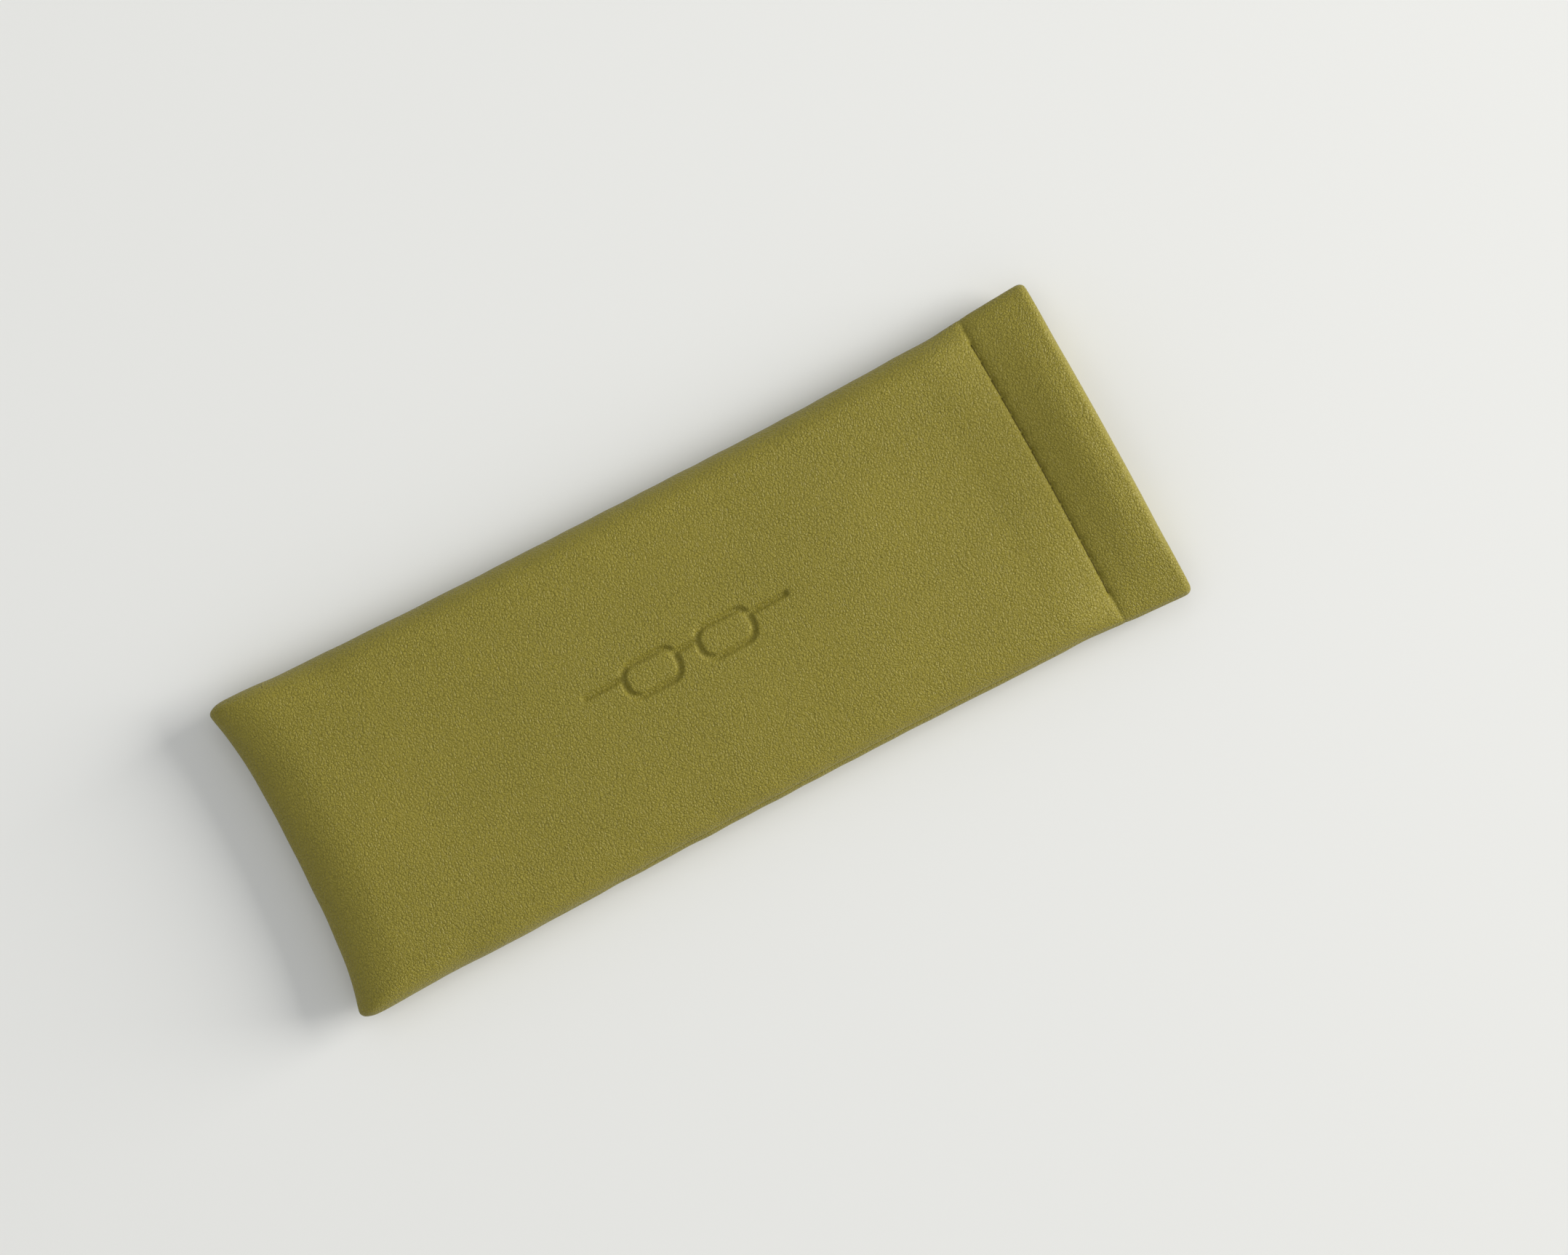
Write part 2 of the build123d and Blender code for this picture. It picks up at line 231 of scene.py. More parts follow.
def crown_rise(x, y, front):
    """How much the middle stands over the rounded edge."""
    body = sizes().crown * np.clip(1.0 - (y / 33.0) ** 2, 0.0, 1.0)
    body = body * (1.0 - np.clip(1.0 - (x - CLOSED_X) / 55.0, 0.0, 1.0) ** 2)
    if not front:
        body = 0.0 * body
    bulge = HEM_BULGE * ease(STITCH_X + 0.5, STITCH_X + 11.0, x)
    bulge = bulge - LIP_DROP * ease(STITCH_X + 10.0, MOUTH_X, x)
    hem = (HEM_CROWN + bulge) * np.clip(1.0 - (y / 31.5) ** 2, 0.0, 1.0)
    share = ease(66.0, 84.0, x)
    return body * (1.0 - share) + hem * share


def seam_lift(x, side):
    """How far the seam stands over the middle plane: its right side rolls up towards the mouth."""
    roll = SEAM_ROLL * ease(-72.0, -15.0, x) * (1.0 - 0.72 * ease(50.0, 90.0, x))
    return np.where(side < 0, roll, 0.0)


def edge_angles(fine):
    """Angles from the seam to the top of the rounded edge, closer together at the seam."""
    count = EDGE_TURNS if fine else SIM_TURNS
    return pi / 2 * (np.arange(count) / count) ** 1.45


def body_columns(fine):
    """Distances from the closed end at which the case is cut into columns, past its rounded end."""
    if not fine:
        return np.concatenate([np.arange(END_RUN, 186.0, 2.3), [LIP_START]])
    spans = [
        (END_RUN, 66.5, 0.95),
        (66.5, 119.5, 0.34),
        (119.5, 168.0, 0.95),
        (168.0, 171.5, 0.6),
        (171.5, 176.5, 0.26),
        (176.5, LIP_START, 0.65),
    ]
    places = [np.linspace(a, b, int(round((b - a) / s)) + 1)[:-1] for a, b, s in spans]
    return np.concatenate(places + [[LIP_START]])


def across_rows(fine):
    """Where the face is cut into rows between its rounded edges, out of FLAT_REACH each side."""
    if not fine:
        half = np.linspace(0.0, FLAT_REACH, 13)
    else:
        close = np.arange(0.0, MARK_REACH, 0.35)
        half = np.concatenate([close, np.arange(MARK_REACH, FLAT_REACH + 0.01, 0.7)])
    return np.concatenate([-half[::-1], half[1:]])


def grid_lines(fine):
    """Numbers that rise along the columns and along the rows, by which two grids are matched."""
    angles = edge_angles(fine) / (pi / 2)
    columns = np.concatenate([END_RUN * angles - END_RUN, body_columns(fine) - END_RUN])
    flat = across_rows(fine)
    left = -FLAT_REACH - EDGE_RUN * (1.0 - angles)
    return columns, np.concatenate([left, flat, -left[::-1]])


def outer_grid(front, fine=True):
    """The outside of one half, from the closed end to where the lip starts to turn, as a grid of
    points: columns along X and rows across Y. A back half is drawn as if it were on top."""
    angles = edge_angles(fine)
    turns = len(angles)
    columns = body_columns(fine)
    flat = across_rows(fine) / FLAT_REACH
    d, row_q = np.meshgrid(
        np.concatenate([END_RUN * (1.0 - np.cos(angles)), columns]),
        np.concatenate([np.cos(angles), np.zeros(len(flat)), np.cos(angles[::-1])]),
        indexing="ij",
    )
    column_q = np.concatenate([np.cos(angles), np.zeros(len(columns))])[:, None]
    column_q = np.broadcast_to(column_q, d.shape)
    side = np.concatenate([-np.ones(turns), np.sign(flat), np.ones(turns)])[None, :]
    share = np.concatenate([-np.ones(turns), flat, np.ones(turns)])[None, :]
    rise = edge_rise(CLOSED_X + d, front)
    lift = seam_lift(CLOSED_X + d, side) * (1 if front else -1)
    start = np.arcsin(np.clip(lift / rise, -0.9, 0.9))
    angle = start + (pi / 2 - start) * np.arccos(np.clip(row_q, 0.0, 1.0)) / (pi / 2)
    in_row, in_end = row_q > 1e-6, column_q > 1e-6
    qa = np.where(in_row, np.cos(angle), 0.0)
    corner = in_row & in_end
    ring = np.maximum(qa, column_q)
    norm = (qa**CORNER_POWER + column_q**CORNER_POWER) ** (1.0 / CORNER_POWER)
    pull = np.where(corner, ring / np.maximum(norm, 1e-9), 1.0)
    x_local = np.where(in_end, END_RUN * (1.0 - column_q * pull), d)
    inner = half_width(CLOSED_X + x_local) - EDGE_RUN + side_extra(CLOSED_X + x_local, side)
    y = np.where(in_row, side * (inner + EDGE_RUN * qa * pull), share * inner)
    fade = 1.0 - ease(END_RUN, 48.0, x_local)
    x = CLOSED_X + x_local + (closed_edge(y) - CLOSED_X) * fade
    height = np.where(in_row, np.sin(angle), 1.0)
    height = np.where(in_end, np.sqrt(np.clip(1.0 - ring**2, 0.0, 1.0)), height)
    crown = crown_rise(x, y, front) * np.clip(height, 0.0, 1.0) ** 2
    return np.stack([x, y, SEAM_Z + rise * height + crown], axis=-1)


def lie(points):
    """The small slant of a hand-sewn case: its right-hand side is a little longer at the mouth."""
    x, y = points[..., 0], points[..., 1]
    slant = CLOSED_SLANT * ease(-40.0, -85.0, x) - MOUTH_SLANT * ease(-40.0, 85.0, x)
    moved = points.copy()
    moved[..., 0] = x + (y / 35.0) * slant
    return moved


def normals(points):
    """Unit normals of a grid, outwards."""
    n = np.cross(np.gradient(points, axis=0), np.gradient(points, axis=1))
    return n / np.maximum(np.linalg.norm(n, axis=-1, keepdims=True), 1e-9)


# ---------------------------------------------------------------- how the padding settles


settled = {}


def pouch_mesh():
    """Both halves as one coarse pouch, sewn round three sides, and which vertices its grids use."""
    grids = [outer_grid(True, fine=False), turned(outer_grid(False, fine=False))]
    columns, rows = grids[0].shape[:2]
    count = columns * rows
    index = np.arange(count).reshape(columns, rows)
    other = index + count
    rim = np.zeros((columns, rows), bool)
    rim[0, :] = rim[:, 0] = rim[:, -1] = True
    other = np.where(rim, index, other)
    faces = []
    for grid_index, flip in ((index, False), (other, True)):
        a, b = grid_index[:-1, :-1].ravel(), grid_index[1:, :-1].ravel()
        c, d = grid_index[1:, 1:].ravel(), grid_index[:-1, 1:].ravel()
        quads = np.stack([d, c, b, a] if flip else [a, b, c, d], axis=1)
        faces += quads.tolist()
    used = np.unique(np.concatenate([index.ravel(), other.ravel()]))
    renumber = np.full(2 * count, -1)
    renumber[used] = np.arange(len(used))
    verts = np.concatenate([grids[0].reshape(-1, 3), grids[1].reshape(-1, 3)])[used]
    faces = renumber[np.array(faces)].tolist()
    return grids, verts, faces, renumber[index], renumber[other]


SIM_FRAMES = 20
SIM_SCALE = 10.0  # cloth settings are meant for metres, so the pouch is settled ten times as large


def settle():
    """Lets the padded pouch settle: a little air inside, its seam drawn in and its hem held.
    Returns how far each point of the two coarse grids moved, in millimetres."""
    _, verts, faces, front_index, back_index = pouch_mesh()
    mesh = bpy.data.meshes.new("Settling pouch")
    mesh.from_pydata((verts * MM * SIM_SCALE).tolist(), [], faces)
    mesh.update()
    pouch = bpy.data.objects.new("Settling pouch", mesh)
    bpy.context.scene.collection.objects.link(pouch)
    held = pouch.vertex_groups.new(name="Held")
    drawn = pouch.vertex_groups.new(name="Drawn in")
    rim = set(front_index[0, :]) | set(front_index[:, 0]) | set(front_index[:, -1])
    for number, (x, _, z) in enumerate(verts):
        weight = max(float(ease(70.0, STITCH_X, x)), float(1.0 - ease(0.05, 1.2, z)))
        held.add([number], weight, "REPLACE")
        drawn.add([number], 1.0 if number in rim else 0.0, "REPLACE")
    cloth = pouch.modifiers.new("Cloth", "CLOTH")
    setting = cloth.settings
    setting.quality = 8
    setting.mass = 0.4
    setting.tension_stiffness = setting.compression_stiffness = 25.0
    setting.shear_stiffness = 12.0
    setting.bending_stiffness = 6.0
    setting.air_damping = 4.0
    setting.vertex_group_mass = "Held"
    setting.vertex_group_shrink = "Drawn in"
    setting.shrink_min = 0.0
    setting.shrink_max = 0.035
    setting.use_pressure = True
    setting.uniform_pressure_force = 4.0
    setting.effector_weights.gravity = 0.0
    cloth.collision_settings.use_collision = False
    cloth.point_cache.frame_start = 1
    cloth.point_cache.frame_end = SIM_FRAMES
    scene = bpy.context.scene
    for frame_number in range(1, SIM_FRAMES + 1):
        scene.frame_set(frame_number)
    ready = pouch.evaluated_get(bpy.context.evaluated_depsgraph_get())
    result = np.empty(len(verts) * 3)
    ready.data.vertices.foreach_get("co", result)
    moved = result.reshape(-1, 3) / MM / SIM_SCALE - verts
    scene.frame_set(1)
    bpy.data.objects.remove(pouch)
    bpy.data.meshes.remove(mesh)
    moved[:, :2] *= SETTLE_IN_PLANE
    reach = np.linalg.norm(moved, axis=1)
    moved *= np.minimum(1.0, SETTLE_LIMIT / np.maximum(reach, 1e-9))[:, None]
    return moved[front_index], moved[back_index]


SETTLE_LIMIT = 1.0
SETTLE_SHARE = 0.7  # how much of the settling is taken over
SETTLE_IN_PLANE = 0.35  # the leather stretches less than the cloth that is settled


def calm(field):
    """Evens a grid of movements out with its neighbours."""
    padded = np.pad(field, ((1, 1), (1, 1), (0, 0)), mode="edge")
    return (
        0.5 * padded[1:-1, 1:-1]
        + 0.125 * (padded[:-2, 1:-1] + padded[2:, 1:-1] + padded[1:-1, :-2] + padded[1:-1, 2:])
    )


def settled_field(front):
    """How the padding settled, on the fine grid. A back half's is turned over, as its grid is."""
    if not settled:
        moves = settle()
        for key, raw in zip((True, False), moves):
            move = calm(calm(raw))
            for line in (np.s_[0, :], np.s_[:, 0], np.s_[:, -1]):
                move[line] = raw[line]
            coarse_u, coarse_v = grid_lines(False)
            fine_u, fine_v = grid_lines(True)
            rows = [np.stack([np.interp(fine_v, coarse_v, line[:, k]) for k in range(3)], axis=1)
                    for line in move]
            table = np.stack(rows)
            field = np.empty((len(fine_u), len(fine_v), 3))
            for r in range(len(fine_v)):
                for k in range(3):
                    field[:, r, k] = np.interp(fine_u, coarse_u, table[:, r, k])
            field[:, len(fine_v) // 2, 1] = 0.0
            held = ease(25.0, 76.0, fine_u + END_RUN + CLOSED_X)
            field *= SETTLE_SHARE * (1.0 - held)[:, None, None]
            if not key:
                field[..., 2] *= -1.0
            settled[key] = field
    return settled[front]


def turned(points):
    """The same shape turned over, from front to back."""
    other = points.copy()
    other[..., 2] = 2 * SEAM_Z - other[..., 2]
    return other


# ---------------------------------------------------------------- small details of the leather


STITCH_COUNT = 7  # stitch holes each side of the middle one


def stitch_share(y, x):
    """Where a place is in the run of stitches: whole numbers are holes."""
    return y * FLAT_REACH / (half_width(x) - EDGE_RUN) / sizes().stitch_pitch


def hem_valley(points, narrow):
    """How deep the leather is pulled in at the hem's stitches. Narrow adds the crease and holes."""
    d = points[..., 0] - STITCH_X
    y = points[..., 1]
    seam = np.where(y < 0, points[:, :1, 2], points[:, -1:, 2])
    over = np.clip((points[..., 2] - seam) / 3.4, 0.0, 1.0)
    left = 0.50 * bell(d, 13.0) + 0.22 * bell(d, 3.2) + 0.28 * bell(d, 0.9)
    right = 0.50 * bell(d, 4.8) + 0.50 * bell(d, 1.6)
    depth = sizes().hem_sink * np.where(d < 0, left, right) * (0.04 + 0.96 * over**2)
    if not narrow:
        return depth
    depth = depth + 0.32 * bell(d, 0.42) * over
    number = stitch_share(y, points[..., 0])
    phase = (number + 0.5) % 1.0 - 0.5
    inside = 1.0 - ease(STITCH_COUNT + 0.4, STITCH_COUNT + 0.6, np.abs(number))
    holes = bell(phase * sizes().stitch_pitch, 0.62) * bell(d, 0.6) * inside
    puckers = 0.06 * np.cos(2 * pi * number) * np.exp(-np.abs(d) / 2.2)
    return depth + 0.28 * holes + puckers


LENS_WIDTH = 13.0
LENS_HEIGHT = 8.0
LENS_RADIUS = 3.4
LENS_SPACING = 17.0
MARK_WIDTH = 46.0
MARK_LINE = 1.1
MARK_X = -2.0
MARK_RISE = 1.6  # the bridge and the temples, above the middle of the lenses
MARK_DISH = 0.08  # depth of the dish round the mark


def box_distance(x, y, half_x, half_y, radius):
    """Signed distance to a rounded rectangle."""
    qx = np.abs(x) - half_x + radius
    qy = np.abs(y) - half_y + radius
    outside = np.hypot(np.maximum(qx, 0.0), np.maximum(qy, 0.0))
    return outside + np.minimum(np.maximum(qx, qy), 0.0) - radius


def mark_distance(x, y):
    """Signed distance to the pressed mark: spectacles with their temples spread."""
    x = x - MARK_X
    lens_x = np.abs(x) - LENS_SPACING / 2
    ring = box_distance(lens_x, y, LENS_WIDTH / 2, LENS_HEIGHT / 2, LENS_RADIUS)
    rim = np.abs(ring + MARK_LINE / 2) - MARK_LINE / 2
    bridge_half = (LENS_SPACING - LENS_WIDTH) / 2 + MARK_LINE / 2
    bridge = box_distance(x, y - MARK_RISE, bridge_half, MARK_LINE / 2, 0.3)
    temple = (MARK_WIDTH - LENS_SPACING - LENS_WIDTH) / 2
    middle = (LENS_SPACING + LENS_WIDTH + temple) / 2
    arm_half = (temple + MARK_LINE) / 2
    arm = box_distance(np.abs(x) - middle, y - MARK_RISE, arm_half, MARK_LINE / 2, 0.5)
    return np.minimum(np.minimum(rim, bridge), arm)


def pressed_mark(points):
    """Depth of the mark at each point, with soft walls and a slight dish round it."""
    d = mark_distance(points[..., 0], points[..., 1])
    dish = MARK_DISH * np.exp(-np.clip(d, 0, None) / 1.6)
    return sizes().mark_depth * (1.0 - ease(-0.20, 0.22, d)) + dish


def waves(x, y, seed, count, low, high):
    """Smooth unevenness: a few fixed sine waves, their lengths between low and high."""
    chance = np.random.default_rng(seed)
    total = np.zeros_like(x)
    for _ in range(count):
        turn = chance.uniform(0, 2 * pi)
        length = chance.uniform(low, high)
        start = chance.uniform(0, 2 * pi)
        total += np.sin(2 * pi * (x * cos(turn) + y * sin(turn)) / length + start)
    return total / count


PAD_WAVES = 0.30  # height of the soft hollows and swellings
SEAM_GATHERS = 0.10
SEAM_ROLL_IN = 0.42


def unevenness(points):
    """Soft hollows and swellings of the padded face, and small gathers along the seam."""
    x, y = points[..., 0], points[..., 1]
    broad = PAD_WAVES * waves(x, y, 7, 7, 26.0, 60.0)
    side = half_width(x) - np.abs(y)
    end = x - closed_edge(y)
    near = np.minimum(side, end)
    gathers = SEAM_GATHERS * waves(x, y, 11, 6, 7.0, 14.0) * np.exp(-near / 6.0)
    return (broad * ease(0.0, 14.0, near) + gathers) * (1.0 - 0.8 * ease(68.0, 78.0, x))


def seam_groove(points, start):
    """How far the leather is rolled in at the seam, from how far each point is from its edge."""
    gap = np.linalg.norm(points - start, axis=-1)
    return SEAM_ROLL_IN * bell(gap, 0.75)


# ---------------------------------------------------------------- meshes from grids


def make_object(name, verts, faces, material=None):
    """A mesh object from points in millimetres."""
    mesh = bpy.data.meshes.new(name)
    mesh.from_pydata((np.asarray(verts) * MM).tolist(), [], faces)
    if material:
        mesh.materials.append(material)
    mesh.polygons.foreach_set("use_smooth", [True] * len(mesh.polygons))
    mesh.update()
    obj = bpy.data.objects.new(name, mesh)
    bpy.context.scene.collection.objects.link(obj)
    return obj


def shell(name, outer, inner, outer_material, inner_material=None):
    """A closed sheet between two grids of the same size, its rim filled."""
    rows, cols = outer.shape[:2]
    count = rows * cols
    verts = np.concatenate([outer.reshape(-1, 3), inner.reshape(-1, 3)])
    index = np.arange(count).reshape(rows, cols)
    a, b = index[:-1, :-1].ravel(), index[1:, :-1].ravel()
    c, d = index[1:, 1:].ravel(), index[:-1, 1:].ravel()
    top = np.stack([a, b, c, d], axis=1)
    under = np.stack([d, c, b, a], axis=1) + count
    rim_index = np.concatenate(
        [index[:-1, 0], index[-1, :-1], index[:0:-1, -1], index[0, :0:-1]]
    )
    following = np.roll(rim_index, -1)
    rim = np.stack([following, rim_index, rim_index + count, following + count], axis=1)
    obj = make_object(name, verts, np.concatenate([top, under, rim]).tolist())
    mesh = obj.data
    smooth = np.ones(len(mesh.polygons), bool)
    smooth[2 * len(top):] = False
    mesh.polygons.foreach_set("use_smooth", smooth)
    mesh.materials.append(outer_material)
    if inner_material:
        mesh.materials.append(inner_material)
        slot = np.zeros(len(mesh.polygons), int)
        slot[len(top):] = 1
        mesh.polygons.foreach_set("material_index", slot)
    face_outwards(mesh)
    return obj


def face_outwards(mesh):
    work = bmesh.new()
    work.from_mesh(mesh)
    bmesh.ops.recalc_face_normals(work, faces=work.faces)
    work.to_mesh(mesh)
    work.free()
    mesh.update()


def bend_from_edges(obj, edge_first):
    """Cuts a piece into its two sides at the middle, bakes each side's place into its mesh, and
    joins the sides into one mesh again."""
    halves = []
    for side in (-1, 1):
        half = obj.copy()
        half.data = obj.data.copy()
        bpy.context.scene.collection.objects.link(half)
        work = bmesh.new()
        work.from_mesh(half.data)
        far = [f for f in work.faces if f.calc_center_median().y * side < 0]
        bmesh.ops.delete(work, geom=far, context="FACES")
        work.to_mesh(half.data)
        work.free()
        if edge_first:
            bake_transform(half)
        else:
            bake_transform(half)
        halves.append(half)
    name = obj.name
    bpy.data.objects.remove(obj)
    first = join(name, halves)
    work = bmesh.new()
    work.from_mesh(first.data)
    middle_verts = [v for v in work.verts if abs(v.co.y) < 0.003]
    bmesh.ops.remove_doubles(work, verts=middle_verts, dist=2e-7)
    work.to_mesh(first.data)
    work.free()
    first.data.update()
    return first


def bend(obj, half):
    """Cuts a soft piece of one half into its sides at the middle and joins them again."""
    if half == "front":
        return bend_from_edges(obj, True)
    return bend_from_edges(obj, False)


# ---------------------------------------------------------------- materials


def set_inputs(made, settings):
    """Gives a node its settings: a value or a socket for an input, or a property of the node."""
    for key, value in settings.items():
        if key not in made.inputs.keys():
            setattr(made, key, value)
        elif isinstance(value, bpy.types.NodeSocket):
            made.id_data.links.new(value, made.inputs[key])
        else:
            made.inputs[key].default_value = value
    return made


def node(tree, kind, **settings):
    return set_inputs(tree.nodes.new(kind), settings)


def new_material(name):
    """A material, its node tree, its shader and the coordinates that its patterns follow."""
    material = bpy.data.materials.new(name)
    material.use_nodes = True
    tree = material.node_tree
    tree.nodes.clear()
    shader = node(tree, "ShaderNodeBsdfPrincipled")
    node(tree, "ShaderNodeOutputMaterial", Surface=shader.outputs["BSDF"])
    place = node(tree, "ShaderNodeTexCoord").outputs["Object"]
    return material, tree, shader, place


def noise(tree, place, scale, detail, roughness, **more):
    settings = {"Scale": scale, "Detail": detail, "Roughness": roughness, "Vector": place, **more}
    return node(tree, "ShaderNodeTexNoise", **settings).outputs


def relief(tree, height, strength, distance):
    """A normal that is raised and sunk by a pattern."""
    bump = node(tree, "ShaderNodeBump", Strength=strength, Distance=distance, Height=height)
    return bump.outputs["Normal"]


def shade(colour, share=1.0):
    """An opaque colour, made darker or paler by a share."""
    return (*[min(c * share, 1.0) for c in colour], 1.0)


def blend_colours(tree, share, first, second):
    made = node(tree, "ShaderNodeMix", data_type="RGBA")
    for socket, value in ((0, share), (6, first), (7, second)):
        if isinstance(value, bpy.types.NodeSocket):
            tree.links.new(value, made.inputs[socket])
        else:
            made.inputs[socket].default_value = value
    return made.outputs[2]


def maths(tree, operation, *values):
    made = node(tree, "ShaderNodeMath", operation=operation)
    for number, value in enumerate(values):
        if isinstance(value, bpy.types.NodeSocket):
            tree.links.new(value, made.inputs[number])
        else:
            made.inputs[number].default_value = value
    return made.outputs[0]


def leather_material():
    """Pebbled olive leather: small uneven pebbles parted by fine creases, with painted shade in the
    creases.
    """
    material, tree, shader, place = new_material("Olive pebbled leather")
    wander = noise(tree, place, 900.0, 2.0, 0.5)
    shift = node(tree, "ShaderNodeVectorMath", operation="MULTIPLY_ADD")
    tree.links.new(wander["Color"], shift.inputs[0])
    shift.inputs[1].default_value = (0.00045, 0.00045, 0.00045)
    tree.links.new(place, shift.inputs[2])
    moved = shift.outputs[0]
    pebble = node(tree, "ShaderNodeTexVoronoi", Scale=2300.0, feature="SMOOTH_F1", Smoothness=0.35,
                  Vector=moved)
    shaded_crease = node(tree, "ShaderNodeTexVoronoi", Scale=1500.0, feature="DISTANCE_TO_EDGE",
                  Vector=moved)
    fine = noise(tree, place, 2600.0, 3.0, 0.6)["Fac"]
    mottle = noise(tree, place, 38.0, 3.0, 0.55)["Fac"]
    dome = maths(tree, "SUBTRACT", 1.0, pebble.outputs["Distance"])
    channel = maths(tree, "MINIMUM", maths(tree, "MULTIPLY", shaded_crease.outputs["Distance"], 6.0), 1.0)
    height = maths(tree, "MULTIPLY_ADD", channel, 0.45, dome)
    height = maths(tree, "MULTIPLY_ADD", fine, 0.22, height)
    # painted shade: creases and the low rims of the pebbles take the darker crease colour, the
    # pebble tops the plain leather colour
    low = maths(tree, "MULTIPLY_ADD", channel, 0.35, maths(tree, "MULTIPLY", dome, 0.8))
    tone = blend_colours(tree, low, shade(colours().shaded_crease), shade(colours().leather))
    warm = (*[c * k for c, k in zip(colours().leather, (1.10, 1.07, 0.95))], 1.0)
    cloud = node(tree, "ShaderNodeValToRGB", Fac=mottle)
    for element, (where, grey) in zip(cloud.color_ramp.elements, ((0.35, 0.0), (0.70, 1.0))):
        element.position = where
        element.color = (grey, grey, grey, 1.0)
    share = maths(tree, "MULTIPLY", cloud.outputs["Color"], 0.30)
    set_inputs(shader, {
        "Base Color": blend_colours(tree, share, tone, warm),
        "Roughness": maths(tree, "MULTIPLY_ADD", fine, 0.16, 0.40),
        "Normal": relief(tree, height, 1.0, 0.00016),
        "Specular IOR Level": 0.34,
        "Sheen Weight": 0.04,
    })
    return material


def flesh_material():
    """The back of the leather: a pale knitted backing."""
    material, tree, shader, place = new_material("Leather backing")
    fuzz = noise(tree, place, 1800.0, 4.0, 0.7)["Fac"]
    tone = blend_colours(tree, fuzz, shade(colours().flesh, 0.72), shade(colours().flesh))
    set_inputs(shader, {
        "Base Color": tone, "Roughness": 0.9, "Normal": relief(tree, fuzz, 0.4, 0.0002),
    })
    return material


def lining_material():
    """Microsuede: a soft napped cloth, uneven where it has been brushed."""
    material, tree, shader, place = new_material("Microsuede lining")
    nap = noise(tree, place, 3000.0, 3.0, 0.65)["Fac"]
    brushed = noise(tree, place, 110.0, 2.0, 0.5, Distortion=0.6)["Fac"]
    tone = blend_colours(tree, brushed, shade(colours().lining), shade(colours().lining, 1.35))
    set_inputs(shader, {
        "Base Color": blend_colours(tree, nap, shade(colours().lining, 0.6), tone),
        "Roughness": 0.95,
        "Normal": relief(tree, nap, 0.35, 0.00015),
        "Sheen Weight": 0.35,
        "Sheen Roughness": 0.5,
    })
    return material


def foam_material():
    """Open-cell foam sheet, with cells that show as small pits."""
    material, tree, shader, place = new_material("Foam sheet")
    cells = node(tree, "ShaderNodeTexVoronoi", Scale=2200.0, Vector=place).outputs["Distance"]
    tone = blend_colours(tree, cells, shade(colours().foam), shade(colours().foam, 0.7))
    set_inputs(shader, {
        "Base Color": tone, "Roughness": 0.92, "Normal": relief(tree, cells, 0.5, 0.0002),
    })
    return material


def thread_material():
    """Twisted polyester thread, a shade darker than the leather."""
    material, tree, shader, place = new_material("Sewing thread")
    fibre = noise(tree, place, 5200.0, 2.0, 0.6)["Fac"]
    tone = blend_colours(tree, fibre, shade(colours().thread), shade(colours().thread, 1.5))
    set_inputs(shader, {
        "Base Color": tone,
        "Roughness": 0.7,
        "Normal": relief(tree, fibre, 0.4, 0.0001),
        "Specular IOR Level": 0.15,
    })
    return material


def metal_material(name, base, roughness, brushed):
    """A metal with fine wear: brushed strips, or plated and rolled fittings."""
    material, tree, shader, place = new_material(name)
    grain = node(tree, "ShaderNodeMapping", Vector=place)
    grain.inputs["Scale"].default_value = (5.0, 1.0, 5.0) if brushed else (1.0, 1.0, 1.0)
    streak = noise(tree, grain.outputs["Vector"], 900.0, 3.0, 0.6)["Fac"]
    worn = noise(tree, place, 260.0, 2.0, 0.5)["Fac"]
    set_inputs(shader, {
        "Base Color": blend_colours(tree, worn, shade(base), shade(base, 0.72)),
        "Roughness": maths(tree, "MULTIPLY_ADD", streak, 0.22, roughness),
        "Normal": relief(tree, streak, 0.15, 0.00005),
        "Metallic": 1.0,
    })
    return material


def floor_material():
    material, tree, shader, place = new_material("Pale floor")
    speck = node(tree, "ShaderNodeTexNoise", Scale=3.0, Detail=2.0, Vector=place).outputs["Fac"]
    tone = blend_colours(tree, speck, shade(colours().floor), shade(colours().floor, 0.99))
    set_inputs(shader, {"Base Color": tone, "Roughness": 0.85, "Specular IOR Level": 0.1})
    return material


MAKERS = {
    "leather": leather_material,
    "flesh": flesh_material,
    "lining": lining_material,
    "foam": foam_material,
    "thread": thread_material,
    "strip_steel": lambda: metal_material("Spring strip steel", (0.46, 0.47, 0.50), 0.26, True),
    "plated_steel": lambda: metal_material("Nickel plating", (0.50, 0.485, 0.45), 0.26, False),
    "rivet_brass": lambda: metal_material("Rivet brass", (0.70, 0.52, 0.22), 0.24, False),
    "floor": floor_material,
}
made_materials = {}


def finish_of(name):
    if name not in made_materials:
        made_materials[name] = MAKERS[name]()
    return made_materials[name]


# ---------------------------------------------------------------- the layers of each half


def spring_arc(y):
    """Height of the middle of the front strip over the table, along its bow."""
    crown = CROWN_Z - STRIP_THICKNESS / 2
    tip_y = CLASP_LOW[1] + 0.15
    tip_z = SEAM_Z + 2.66
    rise = crown - tip_z
    radius = (tip_y**2 + rise**2) / (2 * rise)
    inside = np.sqrt(np.clip(radius**2 - np.minimum(np.abs(y), tip_y) ** 2, 1.0, None))
    bow = crown - radius + inside
    leaf = tip_z - (np.abs(y) - tip_y) * (tip_z - SEAM_Z) / (PIN_Y - tip_y)
    return np.where(np.abs(y) <= tip_y, bow, leaf)


STRIP_THICKNESS = 0.5
HEM_PLAY = 0.45  # from the middle of the strip to the inner layer of the hem
HEM_OPEN_END = 22.0  # the inner layer of the hem reaches this far from the middle
SEAM_HALF_GAP = 0.08
ALLOWANCE = 2.4  # how far the leather is turned in at the seam
SIDE_LIP = 2.35  # depth of the lip at the sides


def spring_side(y):
    """Height that the spring leaves to the cavity side of the front hem's inner layer."""
    clasp_sink = 0.30 * ease(17.0, 19.5, np.abs(y))
    return spring_arc(y) - HEM_PLAY - sizes().leather - clasp_sink


